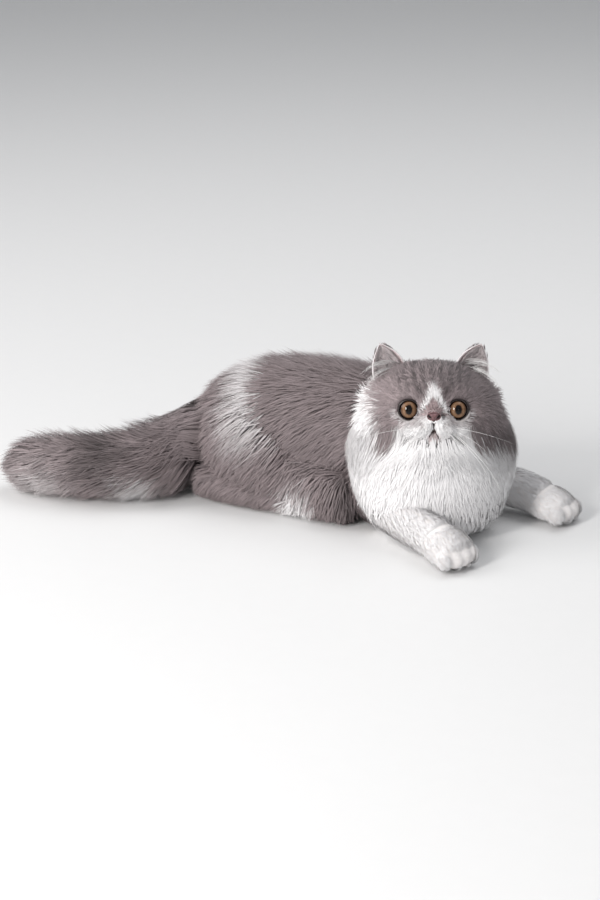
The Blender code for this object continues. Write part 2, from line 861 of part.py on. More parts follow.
def head_locks(draw):
    """The locks of the crown, cheeks and nape, in rings round the face."""
    made = []
    for row, degrees in enumerate(HEAD_LOCK_ROWS):
        polar = math.radians(degrees)
        count = round(360 * math.sin(polar) / HEAD_LOCK_WIDTH)
        for place in range(count):
            step = place + 0.5 * (row % 2) + draw.uniform(-0.15, 0.15)
            around = 2 * math.pi * step / count
            depth = head_coat(head_rays(polar, np.array([around])))[0]
            if depth < SHORT_COAT:
                continue
            made.append(
                lock_object(
                    head_place,
                    max(depth, 9.0),
                    polar,
                    around,
                    away_from_nose,
                    (HEAD_LOCK_LENGTH + 1.2 * depth) * draw.uniform(0.9, 1.1),
                    HEAD_LOCK_WIDTH * draw.uniform(0.9, 1.1),
                    draw.uniform(-0.3, 0.3),
                )
            )
    return [lock for lock in made if lock]


def clear_of(limbs, low=6.0):
    """A test that a place is above the floor and outside the given limbs."""

    def keep(place):
        inside = any(limb.holds(place, limb.coat * MM * 0.7) for limb in limbs)
        return place[2] > low * MM and not inside

    return keep


def parts():
    """Every part of the body. The locks of one that comes earlier lie over those of a later one."""
    draw = random.Random(SEED)
    right, left = hind_limbs(-1), hind_limbs(1)
    legs = [*FORELIMBS["left"], *FORELIMBS["right"]]

    def grown(kind, limb, keep, lie=None, turns=ALL_ROUND):
        return limb_locks(limb, lie or steady(*LOCK_LIES[kind]), LOCK_SIZES[kind], keep, draw, turns)

    listed = [Part("head", 1, BLUE_GREY, [head_solid], lambda: head_locks(draw), carve_face)]
    for side, sign in (("left", 1), ("right", -1)):
        listed.append(Part(f"ear_{side}", 2, INNER_EAR, [ear_solid(sign)]))

    def neck_locks():
        ruff = grown("ruff", BIB, clear_of((), 30.0), turns=RUFF_TURNS)
        return ruff + grown("nape", NAPE, clear_of((BIB,)), turns=NAPE_TURNS)

    listed.append(Part("neck", 5, CREAM, [BIB.solid, NAPE.solid], neck_locks))
    for side in ("left", "right"):
        arm, fore, paw = FORELIMBS[side]

        def arm_locks(arm=arm):
            return grown("arm", arm, clear_of((BIB,)))

        listed.append(Part(f"forepaw_{side}", 6, CREAM, [paw.solid, toes(paw)]))
        listed.append(Part(f"foreleg_{side}", 7, CREAM, [fore.solid]))
        listed.append(Part(f"upperarm_{side}", 3, BLUE_GREY, [arm.solid], arm_locks))
    for side, (_, thigh, foot) in (("left", left), ("right", right)):

        def thigh_locks(thigh=thigh, foot=foot):
            return grown("thigh", thigh, clear_of((foot,)))

        listed.append(Part(f"hindfoot_{side}", 9, BLUE_GREY, [foot.solid]))
        listed.append(Part(f"thigh_{side}", 8, BLUE_GREY, [thigh.solid], thigh_locks))

    def torso_locks():
        keep = clear_of((BIB, right[1], left[1], *legs))
        back = grown("back", TRUNK, keep, trunk_lie, UPPER_TURNS)
        keep = clear_of((BIB, TRUNK, right[1], left[1], *legs), 4.0)
        return back + grown("flank", right[0], keep) + grown("flank", left[0], keep)

    flanks = [right[0].solid, left[0].solid]
    listed.append(Part("torso", 4, BLUE_GREY, [TRUNK.solid, *flanks], torso_locks))
    for name, span in (("root", (0.0, 0.36)), ("middle", (0.36, 0.68)), ("tip", (0.68, 1.0))):
        length = tail_length(span)

        def tail_locks(length=length):
            return grown("tail", length, clear_of((), 3.0), along(length))

        listed.append(Part(f"tail_{name}", 10, BLUE_GREY, [length.solid], tail_locks))
    for side, sign in (("left", 1), ("right", -1)):
        listed.append(Part(f"eye_{side}", 0, AMBER, [eye_solid(sign)], roughness=0.1))
    return listed


def main():
    """Builds every node of the cat."""
    for obj in list(bpy.data.objects):
        bpy.data.objects.remove(obj)
    collection = bpy.data.collections.new("long_haired_cat")
    bpy.context.scene.collection.children.link(collection)
    listed = parts()
    for rank, part in enumerate(listed):
        others = listed[:rank] + listed[rank + 1 :]
        dress(build_part(part, listed[:rank], others), part, collection)


if __name__ == "__main__":
    main()
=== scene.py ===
"""The looks of a young long-haired cat lying at full stretch: skin, face, coat, floor and light.

Everything is worked out in millimetres, with the chest along +X, and turned into metres by MM
when a mesh is made. The body's forms carry the same stations as the solids, so the skin lies
inside them, and the coat grows from the skin out to where the solids' locks end.
"""

from __future__ import annotations

import logging
import math
from dataclasses import dataclass, field
from enum import Enum
from typing import Any, Callable, Protocol, Sequence

import bmesh
import bpy
import numpy as np
from mathutils import Matrix


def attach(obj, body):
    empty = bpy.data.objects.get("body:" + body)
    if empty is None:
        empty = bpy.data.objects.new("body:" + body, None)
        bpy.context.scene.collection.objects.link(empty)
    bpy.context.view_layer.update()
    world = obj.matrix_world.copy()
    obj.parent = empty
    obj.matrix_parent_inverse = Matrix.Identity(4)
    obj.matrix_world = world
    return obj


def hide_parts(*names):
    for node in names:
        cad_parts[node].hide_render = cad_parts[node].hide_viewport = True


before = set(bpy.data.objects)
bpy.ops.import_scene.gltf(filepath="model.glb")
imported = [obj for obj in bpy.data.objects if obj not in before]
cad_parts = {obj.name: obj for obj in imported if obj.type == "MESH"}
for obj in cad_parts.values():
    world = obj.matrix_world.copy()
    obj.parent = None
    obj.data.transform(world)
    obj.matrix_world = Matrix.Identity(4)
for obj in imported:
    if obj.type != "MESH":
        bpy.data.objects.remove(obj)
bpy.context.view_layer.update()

MM = 0.001
SEED = 7
HIP_LINE = -3.0  # the hips' middle plane, about which the hind legs are alike
FLOOR_CLEARANCE = 0.5  # how far above the floor the lowest hairs lie, in mm
FAR = 1e3  # a distance past everything, in mm
SIDES = {"right": -1, "left": 1}
ROUND = (0.0, math.tau)  # all the way round
LOG = logging.getLogger("cat")

Array = np.ndarray
Lie = Callable[[Array], Array]
Mask = Callable[[Array], Array]
Triple = tuple[float, float, float]
Range = tuple[float, float, float, float]  # of a surface's two measures
Stations = Sequence[tuple[float, ...]]  # rows of numbers that a shape follows
Piece = bpy.types.Object
Draw = np.random.Generator


class Slot(Enum):
    """The record's material slots."""

    GREY = "grey_coat"
    WHITE = "white_coat"
    EYE = "eye"
    EAR = "ear_skin"


def unit(vectors: Array) -> Array:
    """Vectors scaled to a length of one."""
    return vectors / np.maximum(np.linalg.norm(vectors, axis=-1, keepdims=True), 1e-9)


def dot(first: Array, second: Array) -> Array:
    """The scalar product along the last axis."""
    return (first * second).sum(axis=-1)


def smooth(low: float, high: float, value: Array) -> Array:
    """0 below low and 1 above high, with an S-shaped rise between them; low may be the larger."""
    share = np.clip((value - low) / (high - low), 0.0, 1.0)
    return share * share * (3.0 - 2.0 * share)


def circle(sides: int) -> Array:
    """Angles round a full circle, one for each side."""
    return np.linspace(0.0, math.tau, sides, endpoint=False)


def pairs(first: Array, second: Array) -> tuple[Array, Array]:
    """Every first measure with every second one, as two flat arrays."""
    return np.repeat(first, len(second)), np.tile(second, len(first))


def steady(*direction: float) -> Lie:
    """A lie of the coat that is the same everywhere."""
    return lambda places: np.broadcast_to(np.array(direction, float), places.shape)


class Surface(Protocol):
    """A form that a coat can grow on: two measures across it, and a lift above the skin."""

    spread: Range

    def place(self, a: Array, b: Array, lift: Array | float) -> Array:
        """Places in space for the two measures and a lift, in mm."""

    def coat_at(self, a: Array, b: Array) -> Array:
        """Depth of the coat in mm."""


@dataclass
class Limb:
    """A tapering length of the body: ellipses carried along a curve, with rounded ends.

    Each station is x, y, z of the centre, then half the width and half the height of the skin.
    Between stations the five numbers follow a smooth cubic. A place is u along the length, an
    angle round it and a lift above the skin; past 0 and 1, u runs over the rounded ends.
    """

    name: str
    stations: Stations
    coat: float
    caps: tuple[float, float] = (10.0, 10.0)
    upward: Triple = (0.0, 0.0, 1.0)
    more: float = 0.0  # coat added over the start, which fades out over more_run of the length
    more_run: float = 0.26
    cap_run: float = 0.12  # share of the length that u runs on past each end
    reach: float = 0.085  # share past each end that grows a coat
    stops: int = 60  # places along the curve that nearest looks at

    def __post_init__(self) -> None:
        """Measures the curve, and works out its slopes for a smooth cubic."""
        self.rows = np.array(self.stations, float)
        steps = np.linalg.norm(np.diff(self.rows[:, :3], axis=0), axis=1)
        self.knots = np.concatenate([[0.0], np.cumsum(steps)]) / steps.sum()
        self.slopes = np.gradient(self.rows, self.knots, axis=0)
        self.spread = (-self.reach, 1.0 + self.reach, *ROUND)

    def rows_at(self, u: Array) -> Array:
        """Centres and half sizes at u from 0 to 1, one row each, by a cubic that keeps the slopes."""
        u = np.clip(u, 0.0, 1.0)
        i = np.clip(np.searchsorted(self.knots, u) - 1, 0, len(self.knots) - 2)
        run = self.knots[i + 1] - self.knots[i]
        t = ((u - self.knots[i]) / run)[:, None]
        leaving, arriving = self.slopes[i] * run[:, None], self.slopes[i + 1] * run[:, None]
        return (
            self.rows[i] * (2 * t**3 - 3 * t**2 + 1)
            + leaving * (t**3 - 2 * t**2 + t)
            + self.rows[i + 1] * (3 * t**2 - 2 * t**3)
            + arriving * (t**3 - t**2)
        )

    def frames_at(self, u: Array) -> tuple[Array, Array, Array]:
        """Directions ahead, to the right side and upward at each u."""
        u = np.clip(u, 0.0, 1.0)
        ahead = unit((self.rows_at(u + 0.02) - self.rows_at(u - 0.02))[:, :3])
        side = unit(np.cross(ahead, self.upward))
        return ahead, side, np.cross(side, ahead)

    def place(self, a: Array, b: Array, lift: Array | float) -> Array:
        """Places on the limb: the ellipse at u = a, turned to angle b and grown by the lift."""
        a = np.clip(a, -self.cap_run, 1.0 + self.cap_run)
        row = self.rows_at(a)
        ahead, side, above = self.frames_at(a)
        over = np.maximum(np.maximum(-a, a - 1.0), 0.0) / self.cap_run
        turn = over * math.pi / 2
        cap = np.where(a < 0, self.caps[0], self.caps[1])
        forward = (cap + lift) * np.sin(turn) * np.where(a < 0, -1.0, 1.0)
        wide = (row[:, 3] + lift) * np.cos(turn) * np.cos(b)
        high = (row[:, 4] + lift) * np.cos(turn) * np.sin(b)
        return row[:, :3] + ahead * forward[:, None] + side * wide[:, None] + above * high[:, None]

    def coat_at(self, a: Array, b: Array) -> Array:
        """The coat's depth, with what is added over the start of the limb."""
        return self.coat + self.more * np.exp(-((np.maximum(a, 0.0) / self.more_run) ** 2)) + 0 * b

    def along(self, places: Array) -> Array:
        """Direction ahead at the nearest point of the limb's curve."""
        return self.frames_at(self.nearest(places))[0]

    def nearest(self, places: Array) -> Array:
        """u of the nearest of the stops along the curve."""
        tries = np.linspace(0.0, 1.0, self.stops)
        centres = self.rows_at(tries)[:, :3]
        gaps = ((places[:, None, :] - centres[None]) ** 2).sum(axis=2)
        return tries[np.argmin(gaps, axis=1)]

    def outside(self, places: Array) -> Array:
        """Rough distance outside the skin in mm, negative inside, from the nearest ellipse."""
        u = self.nearest(places)
        row = self.rows_at(u)
        ahead, side, above = self.frames_at(u)
        away = places - row[:, :3]
        girth = 0.5 * (row[:, 3] + row[:, 4])
        ratio = np.sqrt(
            (dot(away, side) / row[:, 3]) ** 2
            + (dot(away, above) / row[:, 4]) ** 2
            + (dot(away, ahead) / girth) ** 2
        )
        return (ratio - 1.0) * girth

    def loops(self, rings: int, sides: int, lift: float) -> Array:
        """The limb as a grid of rings by sides, grown by the lift, for a closed mesh."""
        stops = np.linspace(-self.cap_run, 1.0 + self.cap_run, rings)
        a, b = pairs(stops, circle(sides))
        return self.place(a, b, lift).reshape(rings, sides, 3)


@dataclass
class Ball:
    """An ellipsoid in its own axes, such as a toe: the angle from its tip, and the angle round."""

    name: str
    centre: Array
    axes: Array
    radii: Triple
    coat: float

    def __post_init__(self) -> None:
        """Sets the range of the two measures."""
        self.spread = (0.05, 2.2, *ROUND)

    def place(self, a: Array, b: Array, lift: Array | float) -> Array:
        """Places on the ellipsoid grown by the lift; the rows of axes are across, ahead and up."""
        across, ahead, above = (radius + np.asarray(lift) for radius in self.radii)
        local = np.stack(
            [across * np.sin(a) * np.cos(b), ahead * np.cos(a), above * np.sin(a) * np.sin(b)], 1
        )
        return self.centre + local @ self.axes

    def coat_at(self, a: Array, b: Array) -> Array:
        """The coat's depth, the same all over."""
        return np.full(len(a), self.coat)

    def outside(self, places: Array) -> Array:
        """Rough distance outside the ellipsoid in mm, negative inside."""
        local = (places - self.centre) @ self.axes.T
        return (np.linalg.norm(local / self.radii, axis=1) - 1.0) * min(self.radii)

    def loops(self, rings: int, sides: int, lift: float) -> Array:
        """The ellipsoid as a grid of rings by sides, pole to pole."""
        polar, around = pairs(np.linspace(0.0, math.pi, rings), circle(sides))
        return self.place(polar, around, lift).reshape(rings, sides, 3)


@dataclass
class Head:
    """The head: softly blended rounded masses about a centre, in the head's own axes.

    X is to the cat's left, Y up and Z out of the face. A place on it is the angle from Z, the
    angle round Z, and a lift above the skin along the ray from the centre.
    """

    centre: Triple = (118.8, -27.4, 107.0)
    turn: float = math.radians(-65.0)
    tilt: float = math.radians(17.0)
    eye_radius: float = 10.4
    eye_place: Triple = (20.7, 1.4, 29.2)
    eye_splay: float = math.radians(3.5)
    philtrum: Stations = ((0, -6.8), (0, -9.5), (0, -12.0), (0, -14.5))
    mouth: Stations = ((0, -13.8), (2.0, -17.6), (4.6, -21.4), (7.8, -25.2), (10.6, -28.6))
    masses: tuple[tuple[Triple, Triple, float], ...] = (
        ((0, 4, -4), (46, 34, 40), 1),
        ((26, -10, 12), (24, 22, 24), 10),
        ((17, 13, 25), (15, 11, 12), 8),
        ((0, 10, 29), (13, 14, 12), 8),
        ((20, -13, 26), (12, 9, 11), 6),
        ((8.5, -14, 35.5), (10.5, 8.5, 10), 4),
        ((0, -25, 32), (8, 6.5, 8), 5),
        ((0, -4.2, 42.0), (7, 5.2, 5), 3),
    )
    table_size: tuple[int, int] = (181, 241)
    limits: tuple[float, float] = (20.0, 70.0)  # the skin lies between these from the centre
    halvings: int = 16

    def __post_init__(self) -> None:
        """Works out the head's axes, and tables how far the skin lies from the centre."""
        flat = np.array([math.cos(self.turn), math.sin(self.turn), 0.0])
        ahead = flat * math.cos(self.tilt) + np.array([0.0, 0.0, math.sin(self.tilt)])
        side = np.cross([0.0, 0.0, 1.0], flat)
        self.axes = np.stack([side, np.cross(ahead, side), ahead])
        self.spread = (0.12, 2.7, *ROUND)
        polar = np.linspace(0.0, math.pi, self.table_size[0])
        around = np.linspace(0.0, math.tau, self.table_size[1])
        rays = self.rays(*pairs(polar, around))
        self.table = self.reach(rays).reshape(len(polar), len(around))

    @staticmethod
    def rays(polar: Array, around: Array) -> Array:
        """Unit directions in the head's axes from the two angles."""
        return np.stack(
            [np.sin(polar) * np.cos(around), np.sin(polar) * np.sin(around), np.cos(polar)], 1
        )

    def to_world(self, points: Array) -> Array:
        """The head's own axes to the cat's, in mm."""
        return points @ self.axes + np.array(self.centre)

    def grid_to_world(self, grid: Array) -> Array:
        """The same for a grid of places."""
        return self.to_world(grid.reshape(-1, 3)).reshape(grid.shape)

    def to_head(self, points: Array) -> Array:
        """The cat's axes to the head's own, in mm."""
        return (points - np.array(self.centre)) @ self.axes.T

    def distance(self, points: Array) -> Array:
        """Distance from the skin, negative inside: the least over all masses, softly blended."""
        points = np.abs(points * [1, 0, 0]) + points * [0, 1, 1]
        found = np.full(len(points), FAR)
        for centre, radii, blend in self.masses:
            away = points - centre
            ratio = np.linalg.norm(away / radii, axis=1)
            slope = np.linalg.norm(away / np.square(radii), axis=1)
            near = ratio * (ratio - 1.0) / np.maximum(slope, 1e-9)
            mix = np.clip(0.5 + 0.5 * (found - near) / blend, 0.0, 1.0)
            found = found * (1 - mix) + near * mix - blend * mix * (1 - mix)
        return found

    def reach(self, rays: Array) -> Array:
        """How far the skin lies from the centre along each ray, by halving."""
        low, high = (np.full(len(rays), limit) for limit in self.limits)
        for _ in range(self.halvings):
            middle = (low + high) / 2
            inside = self.distance(rays * middle[:, None]) < 0
            low, high = np.where(inside, middle, low), np.where(inside, high, middle)
        return (low + high) / 2

    def tabled_reach(self, polar: Array, around: Array) -> Array:
        """The same from the table, between its four nearest entries."""
        rows, columns = self.table.shape
        i = np.clip(polar / math.pi, 0.0, 1.0) * (rows - 1)
        j = (around / math.tau % 1.0) * (columns - 1)
        i0, j0 = np.minimum(i.astype(int), rows - 2), np.minimum(j.astype(int), columns - 2)
        s, t = i - i0, j - j0
        return (
            self.table[i0, j0] * (1 - s) * (1 - t)
            + self.table[i0 + 1, j0] * s * (1 - t)
            + self.table[i0, j0 + 1] * (1 - s) * t
            + self.table[i0 + 1, j0 + 1] * s * t
        )

    def place(self, a: Array, b: Array, lift: Array | float) -> Array:
        """Places on the head: along the ray of the two angles, as far as the skin and the lift."""
        a = np.clip(a, 0.01, math.pi - 0.01)
        reach = self.tabled_reach(a, b) + lift
        return self.to_world(self.rays(a, b) * reach[:, None])

    def coat_at(self, a: Array, b: Array) -> Array:
        """Depth of the coat: short on the face, long on the cheeks and towards the nape."""
        rays = self.rays(a, b)
        back = np.clip((0.78 - rays[:, 2]) / 0.6, 0.0, 1.0)
        side = np.clip(np.abs(rays[:, 0]) * 1.6 - 0.35, 0.0, 1.0)
        low = np.clip(-rays[:, 1] * 1.2, 0.0, 1.0)
        side = side * (0.3 + 0.7 * smooth(0.7, -0.1, rays[:, 1]))
        jaw = 9.0 * np.clip(-rays[:, 1] * 2.0 - 0.7, 0.0, 1.0) * (1.0 - back)
        return 2.2 + 6.0 * back + jaw + back * np.maximum(18.0 * side, 24.0 * low)

    def outside(self, places: Array) -> Array:
        """Distance outside the skin in mm, for places in the cat's axes."""
        return self.distance(self.to_head(places))

    def eye_axis(self, side: int) -> tuple[Array, Array]:
        """An eye's centre and the axes of its ball, in the head's axes; side is 1 for the left."""
        x, y, z = self.eye_place
        sine, cosine = math.sin(self.eye_splay) * side, math.cos(self.eye_splay)
        axes = np.array([[cosine, 0.0, -sine], [0.0, 1.0, 0.0], [sine, 0.0, cosine]])
        return np.array([side * x, y, z]), axes

    def from_eye(self, points: Array) -> Array:
        """Distance off the nearer eye's axis for places in the head's axes, and FAR behind it."""
        best = np.full(len(points), FAR)
        for side in (-1, 1):
            centre, axes = self.eye_axis(side)
            local = (points - centre) @ axes.T
            off = np.hypot(local[:, 0], local[:, 1])
            best = np.minimum(best, np.where(local[:, 2] > -4.0, off, FAR))
        return best

    def from_mouth(self, points: Array) -> Array:
        """Distance seen from the front to the lines of philtrum and mouth, for the face's front."""
        flat = np.stack([np.abs(points[:, 0]), points[:, 1]], axis=1)
        best = np.full(len(points), FAR)
        for line in (self.philtrum, self.mouth):
            for start, end in zip(np.array(line, float), np.array(line, float)[1:]):
                run = end - start
                share = np.clip((flat - start) @ run / (run @ run), 0.0, 1.0)
                gap = np.linalg.norm(flat - start - share[:, None] * run, axis=1)
                best = np.minimum(best, gap)
        return np.where(points[:, 2] > 15.0, best, FAR)

    def relief(self, points: Array) -> Array:
        """How far the fine skin departs from the masses, along each ray, in mm.

        A pit 9 deep behind each eye, a low fold round it, a hollow under the nose's leather, thin
        grooves for the mouth's lines, and a rounded whisker pad on each side of them.
        """
        off = self.from_eye(points)
        front = smooth(10.0, 25.0, points[:, 2])
        pit = -9.0 * (1.0 - smooth(8.0, 9.3, off))
        fold = 0.6 * np.exp(-(((off - 11.0) / 1.6) ** 2))
        groove = -1.3 * np.exp(-((self.from_mouth(points) / 0.8) ** 2))
        wide, high = np.abs(points[:, 0]) - 7.0, points[:, 1] + 13.0
        pads = 0.7 * np.exp(-((wide / 4.6) ** 2) - (high / 4.6) ** 2) * front
        under = -2.6 * smooth(6.2, 5.0, np.hypot(points[:, 0], (points[:, 1] + 4.2) * 1.75)) * front
        return pit + fold + groove + pads + under

    def face_place(self, x: Array, y: Array, lift: Array | float = 0.0) -> Array:
        """Places on the bare face in line with x and y, in the head's axes, found in 14 steps."""
        z = np.full(len(x), 40.0)
        for _ in range(14):
            rays = unit(np.stack([x, y, z], 1))
            z = rays[:, 2] * self.reach(rays)
        return np.stack([x, y, z + lift], 1)

    def loops(self, rings: int, sides: int) -> Array:
        """The head as a grid of rings by sides, crowded towards the face, with its relief."""
        steps = np.linspace(0.0, 1.0, rings) ** 1.45 * math.pi
        rays = self.rays(*pairs(steps, circle(sides)))
        points = rays * self.reach(rays)[:, None]
        points += rays * self.relief(points)[:, None]
        return self.to_world(points).reshape(rings, sides, 3)


HEAD = Head()
FACE_AHEAD = (math.cos(HEAD.turn), math.sin(HEAD.turn), 0.0)


@dataclass
class BodyPlan:
    """Every limb of the body, from the same stations as the solids."""

    toe_radii: Triple = (6.0, 9.4, 8.8)
    toe_apart: float = 9.6
    toe_forward: float = 6.0
    toe_arc: float = 1.6
    toe_drop: float = -2.0
    limbs: dict[str, Limb] = field(default_factory=dict)
    toes: dict[str, list[Ball]] = field(default_factory=dict)

    def __post_init__(self) -> None:
        """Lays out the trunk, neck, tail and legs."""
        self.add(
            "trunk",
            [
                (-97, -4, 50, 27, 33), (-70, -3, 56, 39, 46), (-10, -3, 62, 43, 54),
                (45, -3, 63, 41, 53), (78, -8, 61, 37, 50), (104, -18, 58, 30, 38),
            ],
            20.0,
            more=-5.0,
        )
        self.add(
            "bib",
            [
                (114, -16, 100, 37, 18), (121, -29, 76, 49, 28),
                (125, -37, 50, 49, 33), (127, -38, 25, 41, 28),
            ],
            24.0,
            (8.0, 8.0),
            FACE_AHEAD,
        )
        self.add("nape", [(84, -6, 74, 28, 30), (102, -12, 84, 34, 34), (116, -20, 92, 32, 34)], 22.0)
        self.add(
            "tail",
            [
                (-96, -10, 50, 13, 13), (-112, -32, 42, 10, 10), (-136, -66, 34, 8.5, 8.5),
                (-172, -92, 32, 7.5, 7.5), (-212, -103, 30, 6, 6), (-240, -106, 27, 4, 4),
            ],
            27.0,
            (4.0, 6.0),
            more=10.0,
        )
        for name, sign in SIDES.items():
            self.add_hind_leg(name, sign)
        self.add_foreleg(
            "right",
            [(98, -30, 84, 12, 18), (84, -44, 56, 15, 20), (76, -52, 28, 15, 19)],
            [
                (70, -52, 26, 15, 18), (106, -77, 24, 13, 17),
                (140, -96, 22, 15, 17), (156, -103, 20, 17, 16),
            ],
            [(153, -101, 18.5, 17, 16), (168, -109, 16.5, 21, 15.5), (177, -114, 14.5, 19.5, 12.5)],
        )
        self.add_foreleg(
            "left",
            [(122, 16, 84, 12, 18), (118, 30, 56, 15, 20), (114, 36, 30, 15, 19)],
            [
                (112, 34, 26, 15, 18), (152, 35, 24, 13, 17),
                (187, 32, 22, 14, 16.5), (204, 29, 19, 16, 15),
            ],
            [(201, 29.5, 17.5, 16, 14.5), (216, 27, 15.5, 20, 14), (225, 25, 14, 18.5, 11.5)],
        )

    def add(
        self,
        name: str,
        stations: Stations,
        coat: float,
        caps: tuple[float, float] = (10.0, 10.0),
        upward: Triple = (0.0, 0.0, 1.0),
        more: float = 0.0,
    ) -> Limb:
        """Adds one limb to the plan and gives it back."""
        self.limbs[name] = Limb(name, stations, coat, caps, upward, more)
        return self.limbs[name]

    def add_hind_leg(self, name: str, sign: int) -> None:
        """Adds flank, thigh and foot of one side; sign is -1 for the right and 1 for the left."""

        def out(reach: float) -> float:
            """Y at a reach from the hips' middle plane."""
            return HIP_LINE + sign * reach

        flank = [(-30, out(37), 29, 14, 20), (10, out(46), 27, 15, 20), (50, out(49), 27, 16, 20)]
        self.add(f"flank_{name}", flank, 17.0)
        thigh = [
            (-90, out(24), 50, 20, 28), (-62, out(32), 52, 23, 40),
            (-28, out(41), 40, 20, 31), (-4, out(46), 28, 14, 19),
        ]
        self.add(f"thigh_{name}", thigh, 16.0, (12.0, 10.0), more=-5.0)
        foot = [
            (-92, out(47), 18, 13, 14), (-58, out(52), 15, 12, 11),
            (-22, out(53), 14, 11.5, 10), (4, out(53), 13, 14, 9.5),
        ]
        self.add(f"foot_{name}", foot, 8.0, (8.0, 8.0))

    def add_foreleg(
        self,
        name: str,
        arm: Stations,
        fore: Stations,
        paw: Stations,
    ) -> None:
        """Adds upper arm, forearm, paw and four toes of one side."""
        self.add(f"arm_{name}", arm, 14.0, (8.0, 8.0), (1.0, 0.0, 0.0))
        self.add(f"fore_{name}", fore, 6.0, (8.0, 6.0))
        limb = self.add(f"paw_{name}", paw, 4.0, (4.0, 7.0))
        end = np.array([1.0])
        ahead, side, above = (way[0] for way in limb.frames_at(end))
        axes = np.stack([side, ahead, above])
        base = limb.rows_at(end)[0, :3]
        self.toes[name] = []
        for rank in (-1.5, -0.5, 0.5, 1.5):
            local = (rank * self.toe_apart, self.toe_forward - self.toe_arc * rank**2, self.toe_drop)
            centre = base + np.array(local) @ axes
            ball = Ball(f"toe_{name}", centre, axes, self.toe_radii, 3.0)
            self.toes[name].append(ball)

    def every_toe(self) -> list[Ball]:
        """All the toes."""
        return [ball for balls in self.toes.values() for ball in balls]

    def buried(self, places: Array, own: str) -> Array:
        """True where a place lies inside the skin of another limb, of a toe or of the head."""
        forms: list[Limb | Ball | Head] = [limb for name, limb in self.limbs.items() if name != own]
        forms += [HEAD] if own != "head" else []
        forms += self.every_toe() if not own.startswith("toe") else []
        return np.any([form.outside(places) < 0.0 for form in forms], axis=0)


BODY = BodyPlan()


def new_object(name: str, data: bpy.types.ID) -> Piece:
    """Links a mesh, a light or a camera to the scene as an object at the origin."""
    made = bpy.data.objects.new(name, data)
    bpy.context.scene.collection.objects.link(made)
    return made


def set_place(obj: Piece, ways: Sequence[Array], place: Array) -> None:
    """Puts a light or a camera at a place in metres, with its X, Y and Z along the three ways."""
    matrix = np.eye(4)
    matrix[:3, :3] = np.stack(ways, 1)
    matrix[:3, 3] = place
    obj.matrix_world = Matrix(matrix.tolist())


def put_triangles(name: str, points: Array, corners: Array, normals: Array | None = None) -> Piece:
    """An object from places in mm and triangles, filled straight from the arrays.

    Args:
        name: the object's name.
        points: one row of x, y, z for each vertex, in mm.
        corners: three vertex numbers for each triangle, counter-clockwise from outside.
        normals: the direction that each triangle's corner is shaded by, where it isn't the mesh's.

    Returns:
        The linked object, smooth-shaded.
    """
    mesh = bpy.data.meshes.new(name)
    mesh.vertices.add(len(points))
    mesh.vertices.foreach_set("co", (points * MM).astype(np.float32).ravel())
    mesh.loops.add(corners.size)
    mesh.loops.foreach_set("vertex_index", corners.astype(np.int32).ravel())
    mesh.polygons.add(len(corners))
    starts = np.arange(0, corners.size, 3, dtype=np.int32)
    mesh.polygons.foreach_set("loop_start", starts)
    mesh.polygons.foreach_set("use_smooth", np.ones(len(corners), dtype=bool))
    mesh.update(calc_edges=True)
    mesh.validate()
    if normals is not None:
        mesh.normals_split_custom_set(normals.astype(np.float32))
    return new_object(name, mesh)


def set_attribute(obj: Piece, name: str, values: Array) -> None:
    """Keeps one number for each vertex under a name that the finishes read."""
    layer = obj.data.attributes.new(name, "FLOAT", "POINT")
    layer.data.foreach_set("value", values.astype(np.float32).ravel())


def sided(name: str, side: int) -> str:
    """A piece's name with its side, 1 for the left and -1 for the right."""
    return f"{name}_left" if side > 0 else f"{name}_right"


def wall_corners(rows: int, columns: int, round_rows: bool, round_columns: bool) -> Array:
    """Two triangles for each face of a grid of vertices, which are numbered row by row.

    Where it goes round, the last row or column is joined to the first.
    """
    i, j = pairs(np.arange(rows - (not round_rows)), np.arange(columns - (not round_columns)))
    after_i, after_j = (i + 1) % rows, (j + 1) % columns
    a, b = i * columns + j, i * columns + after_j
    c, d = after_i * columns + after_j, after_i * columns + j
    return np.concatenate([np.stack([a, b, c], 1), np.stack([a, c, d], 1)])


def grid_corners(rings: int, sides: int) -> Array:
    """Triangles of a closed tube of rings, wound so that they face out, with its ends shut.

    The tube's vertices are numbered ring by ring; the two poles come after them.
    """
    walls = wall_corners(rings, sides, False, True)
    around = np.arange(sides)
    start, end = rings * sides, rings * sides + 1
    last = (rings - 1) * sides
    low = np.stack([np.full(sides, start), (around + 1) % sides, around], 1)
    high = np.stack([np.full(sides, end), last + around, last + (around + 1) % sides], 1)
    return np.concatenate([walls, low, high])


def closed_tube(name: str, loops: Array) -> Piece:
    """A closed object from a grid of rings, whose ends meet in a point at each ring's middle."""
    rings, sides, _ = loops.shape
    points = np.concatenate([loops.reshape(-1, 3), [loops[0].mean(0)], [loops[-1].mean(0)]])
    made = put_triangles(name, points, grid_corners(rings, sides))
    face_out(made)
    return made


def face_tube(name: str, track: Array, hint: Triple, thick: Array, sides: int) -> Piece:
    """A closed round tube along a line in the head's axes.

    Args:
        name: the object's name.
        track: places along the line, in mm.
        hint: a direction that the line never takes, from which the circles are turned.
        thick: the radius at each place.
        sides: how many sides the tube has.

    Returns:
        The linked object, in the cat's axes.
    """
    ahead = unit(np.gradient(track, axis=0))
    across = unit(np.cross(ahead, hint))
    above = np.cross(across, ahead)
    turn = circle(sides)
    ring = across[:, None] * np.cos(turn)[None, :, None] + above[:, None] * np.sin(turn)[None, :, None]
    loops = track[:, None] + ring * thick[:, None, None]
    return closed_tube(name, HEAD.grid_to_world(loops))


